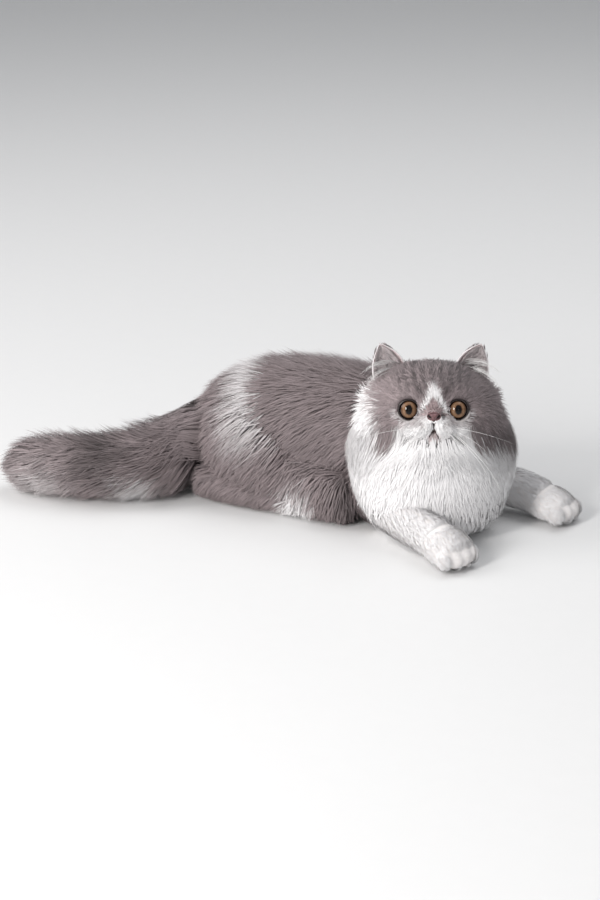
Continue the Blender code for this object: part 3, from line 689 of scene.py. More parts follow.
def bent(root: Array, middle: Array, end: Array, s: Array) -> Array:
    """Places at shares s of a curve of the second degree that passes through three places."""
    bend = 2 * middle - (root + end) / 2
    s = s[:, None]
    return root * (1 - s) ** 2 + 2 * bend * s * (1 - s) + end * s**2


def face_out(obj: Piece) -> None:
    """Turns an object's faces outwards."""
    form = bmesh.new()
    form.from_mesh(obj.data)
    bmesh.ops.recalc_face_normals(form, faces=form.faces)
    form.to_mesh(obj.data)
    form.free()


def vertices_of(obj: Piece) -> Array:
    """All vertex places of an object, in mm."""
    found = np.empty(len(obj.data.vertices) * 3, np.float32)
    obj.data.vertices.foreach_get("co", found)
    return found.reshape(-1, 3).astype(float) / MM


def join(name: str, parts: Sequence[Piece]) -> Piece:
    """One object from several, whose own meshes and objects are then removed."""
    points, corners, count = [], [], 0
    for part in parts:
        part.data.calc_loop_triangles()
        found = np.empty(len(part.data.loop_triangles) * 3, np.int32)
        part.data.loop_triangles.foreach_get("vertices", found)
        points.append(vertices_of(part))
        corners.append(found.reshape(-1, 3) + count)
        count += len(part.data.vertices)
        bpy.data.objects.remove(part)
    return put_triangles(name, np.concatenate(points), np.concatenate(corners))


def with_modifier(obj: Piece, kind: str, **settings: Any) -> None:
    """Runs one modifier on an object and keeps its result as the object's mesh."""
    step = obj.modifiers.new("step", kind)
    for key, value in settings.items():
        setattr(step, key, value)
    graph = bpy.context.evaluated_depsgraph_get()
    made = bpy.data.meshes.new_from_object(obj.evaluated_get(graph))
    obj.modifiers.clear()
    obj.data = made


class Term:
    """A number on a node's socket. Sums and products of it add Math nodes to its tree."""

    def __init__(self, nodes: Nodes, socket: bpy.types.NodeSocket) -> None:
        """Keeps the tree and the socket."""
        self.nodes, self.socket = nodes, socket

    def _sum(self, kind: str, first: Any, second: Any) -> Term:
        """One Math node on two terms or numbers."""
        return self.nodes.add("ShaderNodeMath", {"operation": kind}, {0: first, 1: second})

    def __add__(self, other: Any) -> Term:
        """Sum."""
        return self._sum("ADD", self, other)

    def __radd__(self, other: Any) -> Term:
        """Sum, the number first."""
        return self._sum("ADD", other, self)

    def __sub__(self, other: Any) -> Term:
        """Difference."""
        return self._sum("SUBTRACT", self, other)

    def __mul__(self, other: Any) -> Term:
        """Product."""
        return self._sum("MULTIPLY", self, other)

    def __pow__(self, other: Any) -> Term:
        """Power."""
        return self._sum("POWER", self, other)


class Nodes:
    """A material's tree, with one method that adds any node."""

    def __init__(self, name: str) -> None:
        """Makes the material and finds its shader."""
        self.material = bpy.data.materials.new(name)
        self.material.use_nodes = True
        self.tree = self.material.node_tree
        self.shader = self.tree.nodes["Principled BSDF"]

    def link(self, value: Any, socket: bpy.types.NodeSocket) -> None:
        """Puts a term, a number or a colour on a socket."""
        if isinstance(value, Term):
            self.tree.links.new(value.socket, socket)
        elif isinstance(value, (tuple, list)) and len(value) == 3 and socket.type == "RGBA":
            socket.default_value = (*value, 1.0)
        else:
            socket.default_value = value

    def add(
        self, kind: str, settings: dict[str, Any], inputs: dict[Any, Any], out: int | str = 0
    ) -> Term:
        """Adds a node of any kind.

        Args:
            kind: the node's type.
            settings: its properties, set first; "stops" gives a ramp's places and colours.
            inputs: values or terms by the socket's name or number.
            out: the output that the term stands for.

        Returns:
            The term on that output.
        """
        node = self.tree.nodes.new(kind)
        for key, value in settings.items():
            if key == "stops":
                ramp = node.color_ramp
                while len(ramp.elements) < len(value):
                    ramp.elements.new(1.0)
                for element, (place, colour) in zip(ramp.elements, value):
                    element.position = place
                    element.color = (*colour, 1.0)
            else:
                setattr(node, key, value)
        for key, value in inputs.items():
            self.link(value, node.inputs[key])
        return Term(self, node.outputs[out])

    def attribute(self, name: str) -> Term:
        """The number kept on the piece's vertices under this name."""
        return self.add("ShaderNodeAttribute", {"attribute_name": name}, {}, "Fac")

    def mix(self, share: Any, first: Any, second: Any) -> Term:
        """A colour between two colours."""
        settings = {"data_type": "RGBA", "clamp_factor": True}
        return self.add("ShaderNodeMix", settings, {0: share, 6: first, 7: second}, 2)

    def tint(self, colour: Any, share: Any) -> Term:
        """A colour made lighter or darker by a number, through a Vector Math node."""
        return self.add("ShaderNodeVectorMath", {"operation": "SCALE"}, {0: colour, "Scale": share})

    def noise(self, scale: float, detail: float = 2.0, rough: float = 0.5, warp: float = 0.0) -> Term:
        """Noise on Object coordinates, from 0 to 1."""
        place = self.add("ShaderNodeTexCoord", {}, {}, "Object")
        inputs = {"Vector": place, "Scale": scale, "Detail": detail, "Roughness": rough, "Distortion": warp}
        return self.add("ShaderNodeTexNoise", {"noise_dimensions": "3D"}, inputs, 0)

    def bump(self, height: Any, strength: float, depth: float) -> Term:
        """A Bump node; the depth is in metres."""
        inputs = {"Height": height, "Strength": strength, "Distance": depth}
        return self.add("ShaderNodeBump", {}, inputs, 0)

    def finish(self, **sockets: Any) -> bpy.types.Material:
        """Sets the shader's sockets by name, with _ for a space, and gives the material."""
        for key, value in sockets.items():
            self.link(value, self.shader.inputs[key.replace("_", " ")])
        return self.material


@dataclass(frozen=True)
class CoatFinish:
    """Fur: two colours, each from a root to a tip, mixed by the vertices' own numbers; each is darkened
    towards the root as painted shade from deep in the coat and lightened towards the tip as painted light.

    The vertices carry along (0 at the root), tone (how much lighter, which also carries
    painted shade), white (0 grey, 1 white) and warm (how much pinker).
    """

    name: str
    # Root colours are the hair's own darkened as painted shade from deep in the coat; tip colours are
    # lightened as painted light.
    grey_root: Triple = (0.105, 0.082, 0.084)
    grey_tip: Triple = (0.275, 0.228, 0.232)
    white_root: Triple = (0.76, 0.745, 0.75)
    white_tip: Triple = (0.88, 0.87, 0.875)
    warm_tint: Triple = (0.46, 0.35, 0.355)
    roughness: float = 0.58

    def build(self) -> bpy.types.Material:
        """Makes the material."""
        nodes = Nodes(self.name)
        along, tone = nodes.attribute("along"), nodes.attribute("tone")
        white, warm = nodes.attribute("white"), nodes.attribute("warm")
        # Root to tip: painted shade deep in the coat giving way to painted light at the tips.
        rise = along * 0.75 + 0.25
        grey = nodes.mix(rise, self.grey_root, self.grey_tip)
        pale = nodes.mix(along**0.6, self.white_root, self.white_tip)
        fine = nodes.noise(900.0, 2.0, 0.6) * 0.24 + 0.88
        grey = nodes.tint(grey, tone * fine)
        pale = nodes.tint(pale, (tone - 1.0) * 0.42 + 1.0)
        colour = nodes.mix(warm, nodes.mix(white, grey, pale), nodes.tint(self.warm_tint, tone))
        return nodes.finish(
            Base_Color=colour,
            Roughness=self.roughness + fine * 0.08,
            Specular_IOR_Level=0.3,
            Sheen_Weight=0.15,
            Sheen_Roughness=0.5,
        )


@dataclass(frozen=True)
class SkinFinish:
    """Skin under the coat: the coat's own markings, darker, with bare rosy leather at the nose."""

    name: str = "skin_under_the_coat"
    grey: Triple = (0.13, 0.105, 0.108)
    pale: Triple = (0.86, 0.83, 0.82)
    bare: Triple = (0.25, 0.15, 0.155)
    # Black of the eyes' surround and the mouth's lines, and painted shade in the mouth's opening.
    dark: Triple = (0.018, 0.012, 0.012)

    def build(self) -> bpy.types.Material:
        """Makes the material, with short flat hairs as bump."""
        nodes = Nodes(self.name)
        mottle = nodes.noise(420.0, 3.0, 0.6)
        colour = nodes.mix(nodes.attribute("white"), self.grey, self.pale)
        colour = nodes.tint(colour, mottle * 0.2 + 0.9)
        colour = nodes.mix(nodes.attribute("bare"), colour, self.bare)
        colour = nodes.mix(nodes.attribute("dark"), colour, self.dark)
        hairs = nodes.noise(1600.0, 3.0, 0.7, 0.6)
        grain = nodes.bump(hairs, 0.5, 0.0006)
        return nodes.finish(Base_Color=colour, Roughness=0.72, Specular_IOR_Level=0.3, Normal=grain)


@dataclass(frozen=True)
class EyeFinish:
    """A wet eyeball: black pupil, amber iris with fine spokes, a dark brown rim."""

    name: str = "amber_eye"
    pupil: float = 0.262
    inner: Triple = (0.17, 0.098, 0.056)
    middle: Triple = (0.25, 0.145, 0.082)
    outer: Triple = (0.09, 0.044, 0.023)

    def build(self) -> bpy.types.Material:
        """Makes the material from ring (0 at the eye's middle, 1 at its equator) and spoke."""
        nodes = Nodes(self.name)
        ring, spoke = nodes.attribute("ring"), nodes.attribute("spoke")
        black = (0.004, 0.003, 0.003)
        stops = (
            (self.pupil - 0.012, black),
            (self.pupil + 0.012, (0.15, 0.075, 0.04)),
            (self.pupil + 0.05, self.inner),
            (0.39, self.middle),
            (0.475, self.outer),
            (0.50, black),
        )
        settings = {"stops": stops}
        iris = nodes.add("ShaderNodeValToRGB", settings, {"Fac": ring + (spoke - 0.5) * 0.035})
        lit = nodes.tint(iris, spoke * 0.7 + 0.65)
        return nodes.finish(
            Base_Color=lit,
            Roughness=0.5,
            Specular_IOR_Level=0.0,
            Coat_Weight=0.8,
            Coat_Roughness=0.03,
            Coat_IOR=1.4,
        )


@dataclass(frozen=True)
class PlainFinish:
    """Bare leather, lids, lips and whiskers: one colour mottled by noise, with a fine grain."""

    name: str
    light: Triple
    shade: Triple
    roughness: float = 0.45
    grain: float = 1400.0
    depth: float = 0.0003
    # The colour that the dark number mixes in: painted shade in nostrils and the mouth's opening, dark lips
    # elsewhere.
    dark: Triple = (0.012, 0.008, 0.008)

    def build(self) -> bpy.types.Material:
        """Makes the material; the vertices' dark number blackens nostrils and rims, as painted shade in the
        nostrils and the mouth's opening and as the lips' own dark colour.
        """
        nodes = Nodes(self.name)
        mottle = nodes.noise(500.0, 3.0, 0.6)
        colour = nodes.mix(mottle, self.shade, self.light)
        colour = nodes.mix(nodes.attribute("dark"), colour, self.dark)
        cells = nodes.noise(self.grain, 2.0, 0.6)
        return nodes.finish(
            Base_Color=colour,
            Roughness=self.roughness,
            Specular_IOR_Level=0.5,
            Normal=nodes.bump(cells, 0.6, self.depth),
        )


@dataclass(frozen=True)
class EarFinish:
    """An ear's skin: lilac pink inside with fine down, grey fur outside, a furry rim painted white, partly
    pale hair and partly painted rim light.
    """

    name: str = "ear_skin"
    inside: Triple = (0.50, 0.385, 0.395)
    # Painted shade in the hollow of the cup.
    deep: Triple = (0.30, 0.21, 0.215)
    outside: Triple = (0.17, 0.14, 0.145)
    # The rim's white is partly pale hair and partly painted rim light.
    rim: Triple = (0.93, 0.90, 0.90)

    def build(self) -> bpy.types.Material:
        """Makes the material from hollow, rim and back, which the vertices carry; the hollow's darker
        colour is painted shade, and the rim's white partly painted rim light.
        """
        nodes = Nodes(self.name)
        down = nodes.noise(700.0, 3.0, 0.6, 0.8)
        colour = nodes.mix(nodes.attribute("hollow"), self.inside, self.deep)
        colour = nodes.mix(nodes.attribute("back"), colour, self.outside)
        colour = nodes.mix(nodes.attribute("rim"), colour, self.rim)
        colour = nodes.tint(colour, down * 0.5 + 0.75)
        grain = nodes.bump(down, 0.5, 0.0005)
        return nodes.finish(Base_Color=colour, Roughness=0.75, Specular_IOR_Level=0.25, Normal=grain)


def dress(obj: Piece, material: bpy.types.Material, slot: Slot, nodes: Sequence[str] = ()) -> None:
    """Gives a piece its material, sets it on the body, and hides the solids it replaces."""
    obj.data.materials.clear()
    obj.data.materials.append(material)
    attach(obj, "root")
    if nodes:
        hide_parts(*nodes)
    obj.data.calc_loop_triangles()
    LOG.info("%s: %d triangles", obj.name, len(obj.data.loop_triangles))


class Markings:
    """Where the coat is white, from 0 to 1, for places in mm on each limb and on the head.

    The skin and the coat both read it: white bib, forelegs, hind toes, muzzle and blaze, a
    white band over the rump and a pale patch under the tail, on lilac grey.
    """

    def head(self, places: Array) -> Array:
        """White muzzle, inverted V above the nose, throat, and outer fur of the cheeks."""
        local = HEAD.to_head(places)
        x, y, z = local.T
        off = HEAD.from_eye(local)
        wide = np.abs(x)
        front = smooth(20.0, 28.0, z)
        muzzle = smooth(15.0, 9.0, np.hypot(x * 0.8, y + 15.0)) * front
        spots = np.exp(-(((wide - 9.4) / 2.0) ** 2) - ((y + 9.8) / 1.6) ** 2)
        outer = smooth(1.6, -0.8, wide - np.clip((22.0 - y) * 0.44, 1.6, 9.5))
        bridge = smooth(-0.8, 0.6, wide - (9.6 - y) * 0.72)
        blaze = outer * bridge * smooth(-5.0, 0.0, y) * smooth(24.0, 14.0, y) * front
        line = np.where(x < 0, -11.0 - 0.42 * np.maximum(wide - 20.0, 0.0), 0.0)
        line = np.where(x >= 0, -11.0 - 0.90 * np.maximum(wide - 25.0, 0.0), line)
        lower = smooth(5.0, -4.0, y - line)
        edge = smooth(38.0, 46.0, -x) * smooth(26.0, 16.0, y)
        rim = smooth(12.0, 10.4, off) * smooth(4.0, -3.0, y) * 0.45
        white = np.maximum.reduce([muzzle, lower, blaze * 0.95, edge, rim])
        return np.clip(white - 0.85 * spots * front, 0.0, 1.0)

    def limb(self, name: str, places: Array) -> Array:
        """White share on one limb."""
        x, _, z = places.T
        if name.startswith(("bib", "paw", "toe")):
            return np.full(len(places), 1.0)
        if name == "fore_right":
            return smooth(72.0, 86.0, x)
        if name == "fore_left":
            return smooth(112.0, 128.0, x)
        if name.startswith("arm"):
            return smooth(34.0, 14.0, z) * smooth(70.0, 84.0, x) * 0.6
        if name.startswith(("foot", "flank")):
            left_edge = 4.0 - 18.0 * smooth(18.0, 4.0, z)
            across = smooth(-5.0, 3.0, x - left_edge) * smooth(36.0, 27.0, x)
            return across * smooth(46.0, 28.0, z) * 0.9
        if name == "tail":
            patch = np.exp(-(((x + 126.0) / 11.0) ** 2)) * smooth(38.0, 28.0, z)
            streaks = np.exp(-(((x + 196.0) / 20.0) ** 2) - ((z - 27.0) / 7.0) ** 2)
            return np.maximum(patch * 0.8, streaks * 0.45)
        if name in ("trunk", "nape"):
            chest = smooth(100.0, 122.0, x) * smooth(70.0, 40.0, z)
            return np.maximum(self.band(places), chest)
        if name.startswith("thigh"):
            return self.band(places)
        return np.zeros(len(places))

    def band(self, places: Array) -> Array:
        """The pale band over the rump: sharp in front, fading out behind and below."""
        x, _, z = places.T
        edge = -30.0 + (115.0 - z) * 0.30
        across = smooth(-44.0, -10.0, x - edge) * smooth(3.0, -3.0, x - edge)
        return across * smooth(62.0, 92.0, z) * 0.68

    def skin(self, places: Array) -> Array:
        """White share anywhere on the skin, from the limb whose surface is nearest."""
        best = HEAD.outside(places)
        white = self.head(places)
        for name, limb in BODY.limbs.items():
            gap = limb.outside(places)
            nearer = gap < best
            white = np.where(nearer, self.limb(name, places), white)
            best = np.minimum(best, gap)
        return white


MARKINGS = Markings()


@dataclass
class Skin:
    """One skin for the whole body: rounded lengths fused, with the fine head joined on."""

    voxel: float = 2.6
    under: float = 0.10
    smoothing: int = 4
    head_grid: tuple[int, int] = (170, 220)
    limb_grid: tuple[int, int] = (40, 32)
    toe_grid: tuple[int, int] = (14, 20)
    lowest: float = 0.3  # the skin's least height above the floor, in mm

    def body(self) -> Piece:
        """Every limb and toe as a closed tube, fused by a voxel remesh and smoothed."""
        tubes = []
        for name, limb in BODY.limbs.items():
            lift = limb.coat * self.under
            tubes.append(closed_tube(name, limb.loops(*self.limb_grid, lift)))
        for ball in BODY.every_toe():
            tubes.append(closed_tube(ball.name, ball.loops(*self.toe_grid, 0.0)))
        body = join("body", tubes)
        with_modifier(body, "REMESH", mode="VOXEL", voxel_size=self.voxel * MM)
        with_modifier(body, "SMOOTH", factor=0.5, iterations=self.smoothing)
        return body

    def build(self) -> Piece:
        """The whole skin, with its markings, as one closed mesh that stands on the floor."""
        body = self.body()
        head = closed_tube("head_form", HEAD.loops(*self.head_grid))
        with_modifier(body, "BOOLEAN", operation="UNION", solver="MANIFOLD", object=head)
        bpy.data.objects.remove(head)
        skin = join("skin", [body])
        points = vertices_of(skin)
        points[:, 2] = np.maximum(points[:, 2], self.lowest)
        skin.data.vertices.foreach_set("co", (points * MM).astype(np.float32).ravel())
        skin.data.update()
        self.mark(skin, points)
        return skin

    def mark(self, skin: Piece, points: Array) -> None:
        """Works out the white, bare and dark numbers of the vertices."""
        local = HEAD.to_head(points)
        on_face = (HEAD.distance(local) < 3.0) & (local[:, 2] > 15.0)
        off = HEAD.from_eye(local)
        around_eye = smooth(9.9, 9.2, off)
        x, y = local[:, 0], local[:, 1]
        # The gap under the philtrum is darkened as painted shade in the mouth's slight opening.
        gap = smooth(2.2, 1.4, np.hypot(x, (y + 16.4) * 0.6))
        line = np.maximum(smooth(1.5, 0.5, HEAD.from_mouth(local)), gap)
        nose = smooth(7.0, 5.6, np.hypot(x, (y + 4.2) * 1.5))
        chin = smooth(2.0, -0.5, np.abs(x) + 0.35 * y + 3.0) * smooth(-15.0, -19.0, y)
        nose = np.maximum(nose, 0.6 * chin)
        set_attribute(skin, "white", MARKINGS.skin(points))
        set_attribute(skin, "bare", np.where(on_face, np.maximum(nose, line * 0.6), 0.0))
        set_attribute(skin, "dark", np.where(on_face, np.maximum(around_eye, line * 0.8), 0.0))


@dataclass
class Eye:
    """One eyeball and its dark lids. side is 1 for the cat's left and -1 for the right."""

    side: int
    rings: int = 48
    sides: int = 96
    opening: float = 8.3
    lid_steps: int = 72
    lid_profile: Stations = (  # out from the opening and forward, round the rim's section
        (0.0, 0.1), (0.1, 0.75), (0.6, 1.15), (1.4, 0.75),
        (2.2, -0.3), (2.9, -2.2), (1.9, -2.6), (0.9, -1.2),
    )
    seed: int = 3

    def to_world(self, points: Array) -> Array:
        """The eye's own axes, Z the way it looks, to the cat's."""
        centre, axes = HEAD.eye_axis(self.side)
        return HEAD.to_world(points @ axes + centre)

    def ball(self) -> Piece:
        """A sphere about the eye's axis, with a fuller cornea and a tall pupil: radius by angles."""
        polar = np.linspace(0.0, math.pi, self.rings)
        a, b = pairs(polar, circle(self.sides))
        radius = HEAD.eye_radius * (0.985 + 0.03 * np.exp(-((a / 0.55) ** 2)))
        rays = HEAD.rays(a, b)
        loops = self.to_world(rays * radius[:, None]).reshape(self.rings, self.sides, 3)
        ball = closed_tube(sided("eyeball", self.side), loops)
        draw = np.random.default_rng(self.seed + self.side)
        spokes = np.zeros(len(a))
        for count in (7, 13, 22, 31, 44):
            phase, turn = draw.uniform(0, math.tau, 2)
            spokes += np.sin(count * b + phase + 2.2 * np.sin(3 * a + turn)) / 5.0
        slit = 1.0 + 0.52 * np.cos(b) ** 2 * np.exp(-((a / 0.6) ** 4))
        ring = np.concatenate([a * slit / (math.pi / 2), [0.0, 2.0]])
        set_attribute(ball, "ring", ring)
        set_attribute(ball, "spoke", np.concatenate([0.5 + 0.5 * spokes, [0.5, 0.5]]))
        return ball

    def lids(self) -> Piece:
        """A dark rim swept round the eye: a small closed profile carried along the opening.

        The profile lies against the ball, is thickest above and towards the nose, and its
        outer edge goes into the skin.
        """
        turn = circle(self.lid_steps)
        from_nose = np.angle(np.exp(1j * (turn - math.pi * (self.side > 0))))
        inner_corner = np.exp(-((from_nose / 0.5) ** 2))
        above = smooth(-0.2, 1.0, np.sin(turn))
        size = 0.62 + 0.25 * above + 0.25 * inner_corner
        opening = self.opening - 0.45 * above - 0.25 * inner_corner
        profile = np.array(self.lid_profile)
        off = opening[:, None] + profile[None, :, 0] * size[:, None]
        depth = np.sqrt(HEAD.eye_radius**2 - opening**2)
        forward = depth[:, None] + profile[None, :, 1] * size[:, None]
        local = np.stack([off * np.cos(turn)[:, None], off * np.sin(turn)[:, None], forward], 2)
        points = self.to_world(local.reshape(-1, 3))
        corners = wall_corners(self.lid_steps, len(profile), True, True)
        lids = put_triangles(sided("lids", self.side), points, corners)
        face_out(lids)
        set_attribute(lids, "dark", np.zeros(len(points)))
        return lids


@dataclass
class Nose:
    """The short nose's bare leather: a rounded wide triangle domed over the face."""

    middle: tuple[float, float] = (0.0, -4.2)
    half_width: float = 5.8
    half_height: float = 3.2
    dome: float = 1.6
    rings: int = 34
    sides: int = 72
    nostril: tuple[float, float] = (3.7, -4.3)

    def outline(self, around: Array) -> tuple[Array, Array]:
        """Half width and height of the edge by angle: broad at the top, drawn in below."""
        x = self.half_width * np.cos(around)
        y = self.half_height * np.sin(around)
        x = x * (0.80 + 0.20 * np.sin(around)) * (1.0 + 0.12 * np.cos(2 * around))
        y = y - 0.7 * np.exp(-((np.cos(around) / 0.35) ** 2)) * np.where(np.sin(around) < 0, 1.0, 0.5)
        return x, y

    def build(self) -> Piece:
        """The leather, sunk at its edge, with two comma-shaped nostrils and a middle groove, both blackened
        as painted shade.
        """
        share = np.linspace(0.0, 1.0, self.rings)
        r, t = pairs(share, circle(self.sides))
        edge_x, edge_y = self.outline(t)
        x, y = self.middle[0] + edge_x * r, self.middle[1] + edge_y * r
        rise = self.dome * (1.0 - r**3.0) - 0.5
        reach = np.abs(x) - self.nostril[0]
        slant = y - self.nostril[1] - 0.75 * reach
        pit = np.exp(-((reach / 1.8) ** 2) - (slant / 0.95) ** 2)
        wing = np.exp(-(((np.abs(x) - 2.6) / 1.8) ** 2) - ((y + 2.6) / 1.2) ** 2)
        groove = np.exp(-((x / 0.35) ** 2)) * smooth(-4.5, -6.0, y)
        rise = rise + 0.5 * wing - 2.1 * pit - 0.4 * groove
        front = HEAD.face_place(x, y, rise)
        back = HEAD.face_place(self.middle[0] + edge_x, self.middle[1] + edge_y, -2.5)
        loops = np.concatenate([front.reshape(self.rings, self.sides, 3)[1:], back[None, : self.sides]])
        nose = closed_tube("nose_leather", HEAD.grid_to_world(loops))
        # The dark number is painted shade: black in the nostrils' pits and the groove, and darker towards
        # both sides where the nostrils open.
        dark = np.clip(pit * 1.7 - 0.2, 0, 1) + groove * 0.5 + 0.55 * smooth(2.2, 4.8, np.abs(x))
        dark = dark.reshape(self.rings, self.sides)[1:].ravel()
        pad = np.zeros(self.sides + 2)
        set_attribute(nose, "dark", np.clip(np.concatenate([dark, pad]), 0.0, 1.0))
        return nose


@dataclass
class Lips:
    """Thin dark lines of the mouth: round tubes along the philtrum and both lips."""

    radius: float = 0.8
    sunk: float = 0.35
    sides: int = 8
    steps: int = 40

    def tube(self, line: Array) -> Piece:
        """A tapering tube along a line on the face, a little sunk; the third column is the thickness."""
        knots = np.linspace(0.0, 1.0, len(line))
        at = np.linspace(0.0, 1.0, self.steps)
        x, y, thick = (np.interp(at, knots, column) for column in line.T)
        track = HEAD.face_place(x, y, -self.sunk)
        return face_tube("line", track, (0.0, 0.0, 1.0), self.radius * thick, self.sides)

    def build(self) -> Piece:
        """The groove, the dark gap under it as painted shade in the mouth's slight opening, and both lips
        as one piece.
        """
        mouth = np.column_stack([HEAD.mouth, [1.2, 1.15, 0.85, 0.55, 0.15]])
        groove = np.column_stack([HEAD.philtrum, [0.7, 0.7, 0.8, 1.2]])
        # A dark tube for the painted shade in the mouth's slight opening.
        gap = np.array([(0, -13.6, 0.5), (0, -15.4, 1.4), (0, -17.0, 1.7), (0, -19.2, 0.3)])
        lines = [groove, gap, mouth, mouth * [-1.0, 1.0, 1.0]]
        lips = join("lips", [self.tube(line) for line in lines])
        set_attribute(lips, "dark", np.full(len(lips.data.vertices), 0.5))
        return lips


@dataclass
class Ear:
    """One ear: a rounded leaf bent into a cup, open to the front, as a thin closed shell."""

    side: int
    outer: Triple = (47, 20, -8)
    inner: Triple = (20, 33, -6)
    tip: Triple = (44.5, 57.5, -6)
    depth: float = 13.0
    wall: float = 2.0
    rows: int = 34
    columns: int = 30

    def leaf(self, rise: Array, across: Array) -> Array:
        """Places on the cup by the share up it and across it, in the head's axes.

        Its half width falls as the cosine of the rise; it bows back as a parabola across.
        """
        outer, inner, tip = (np.array(p, float) for p in (self.outer, self.inner, self.tip))
        foot = (outer + inner) / 2
        width = np.maximum(np.cos(0.5 * math.pi * rise**1.45), 0.0) ** 0.95 + 0.015
        middle = foot + (tip - foot) * rise[:, None]
        half = (outer - inner) / 2 * width[:, None]
        back = -self.depth * width * (1 - across**2) * (1 - 0.35 * rise)
        place = middle + half * across[:, None] + np.stack([0 * back, 0 * back, back], 1)
        return place * [self.side, 1, 1]

    def build(self) -> Piece:
        """The shell: front and back of the leaf, a wall apart, joined round the rim."""
        rise = np.linspace(-0.12, 1.0, self.rows)
        edge = np.linspace(-1.0, 1.0, self.columns)
        r, c = pairs(rise, edge)
        r_in = np.maximum(r, 0.0)
        front = self.leaf(r_in, c) + np.outer(np.minimum(r, 0.0), [0.0, 28.0, 0.0])
        grid = front.reshape(self.rows, self.columns, 3)
        across = np.gradient(grid, axis=1)
        up = np.gradient(grid, axis=0)
        normal = unit(np.cross(across, up)) * self.side
        normal = np.where(normal[..., 2:] < 0, -normal, normal)
        thick = self.wall * (1 - 0.55 * np.abs(edge)[None, :] ** 3) * (1 - 0.5 * rise[:, None] ** 4)
        shell = grid - normal * thick[..., None]
        loops = np.concatenate([grid, shell[:, ::-1]], axis=1)
        ear = closed_tube(sided("ear_shell", self.side), HEAD.grid_to_world(loops))
        inside = np.concatenate([np.zeros_like(grid[..., 0]), np.ones_like(grid[..., 0])], axis=1)
        both = np.concatenate([np.abs(edge), np.abs(edge)[::-1]])
        # hollow: painted shade, deepening towards the middle and foot of the cup.
        hollow = (1 - both[None, :] ** 2) * smooth(0.75, 0.1, rise)[:, None] * (1 - inside)
        # rim: the pale rim, painted white partly as rim light.
        rim = np.maximum(smooth(0.90, 1.0, both)[None, :], smooth(0.95, 1.0, rise)[:, None])
        rim = rim * np.ones_like(inside)
        pad = np.zeros(2)
        set_attribute(ear, "back", np.concatenate([inside.ravel(), pad]))
        set_attribute(ear, "hollow", np.concatenate([hollow.ravel(), pad]))
        set_attribute(ear, "rim", np.concatenate([rim.ravel() * 0.8, pad]))
        return ear


@dataclass
class Whiskers:
    """Long white hairs of the lips and ears: thin tapering tubes on bent lines.

    Each row gives a root, a middle and an end on the cat's left, as seen from the front, and
    how far the end stands out in front of the root. The line bends through the middle.
    """

    rows: Stations = (
        (17.0, -14.0, 43.0, -19.0, 69.0, -28.0, 12.0),
        (16.0, -17.0, 49.0, -54.0, 58.0, -86.0, 26.0),
        (14.0, -19.0, 25.0, -34.0, 31.0, -50.0, 20.0),
        (17.0, -16.0, 36.0, -27.0, 50.0, -41.0, 18.0),
        (15.0, -17.5, 40.0, -46.0, 47.0, -70.0, 26.0),
        (13.0, -18.0, 27.0, -42.0, 31.0, -62.0, 24.0),
    )
    radius: float = 0.16
    sides: int = 4
    steps: int = 12
    ear_hairs: int = 46
    seed: int = 21

    def track(self, row: tuple[float, ...], side: int, draw: Draw) -> Array:
        """A line through root, middle and end by a curve of the second degree."""
        x0, y0, x1, y1, x2, y2, out = row
        root = HEAD.face_place(np.array([side * x0]), np.array([y0]), -0.5)[0]
        shift = draw.normal(0.0, 1.2, 2) if side < 0 else np.zeros(2)
        middle = np.array([side * x1, y1, root[2] + out]) + [*shift, 0.0]
        end = np.array([side * x2, y2, root[2] + 0.5 * out]) + [*(2 * shift), 0.0]
        return bent(root, middle, end, np.linspace(0.0, 1.0, self.steps))

    def build(self) -> Piece:
        """Every whisker as one piece, each a circle carried along its line."""
        draw = np.random.default_rng(self.seed)
        tubes = []
        for side in (-1, 1):
            for row in self.rows:
                tubes.append(self.tube(self.track(row, side, draw), 1.0))
            tubes += [self.tube(self.ear_track(side, draw), 0.95) for _ in range(self.ear_hairs)]
        whiskers = join("whiskers", tubes)
        set_attribute(whiskers, "dark", np.zeros(len(whiskers.data.vertices)))
        return whiskers

    def ear_track(self, side: int, draw: Draw) -> Array:
        """One long hair from an ear's base, arched outwards over its rim and drooping."""
        rise, across = draw.uniform(0.10, 0.42), draw.uniform(-0.75, 0.1)
        root = Ear(side).leaf(np.array([rise]), np.array([across]))[0]
        lock = 1.0 if rise > 0.28 else 0.0
        end = np.array([58.0 + 4.0 * lock, 21.0 + 9.0 * lock, 8.0]) + draw.normal(0.0, 1.5, 3)
        end = end * [side, 1, 1]
        middle = (root + end) / 2 + np.array([0.0, 5.5, 7.0]) + draw.normal(0.0, 0.8, 3)
        return bent(root, middle, end, np.linspace(0.0, draw.uniform(0.7, 1.0), self.steps))

    def tube(self, track: Array, share: float) -> Piece:
        """A whisker along a line in the head's axes, thinner towards its tip."""
        thick = self.radius * share * (1.0 - 0.8 * np.linspace(0.0, 1.0, self.steps))
        return face_tube("whisker", track, (0.2, 0.3, 1.0), thick, self.sides)


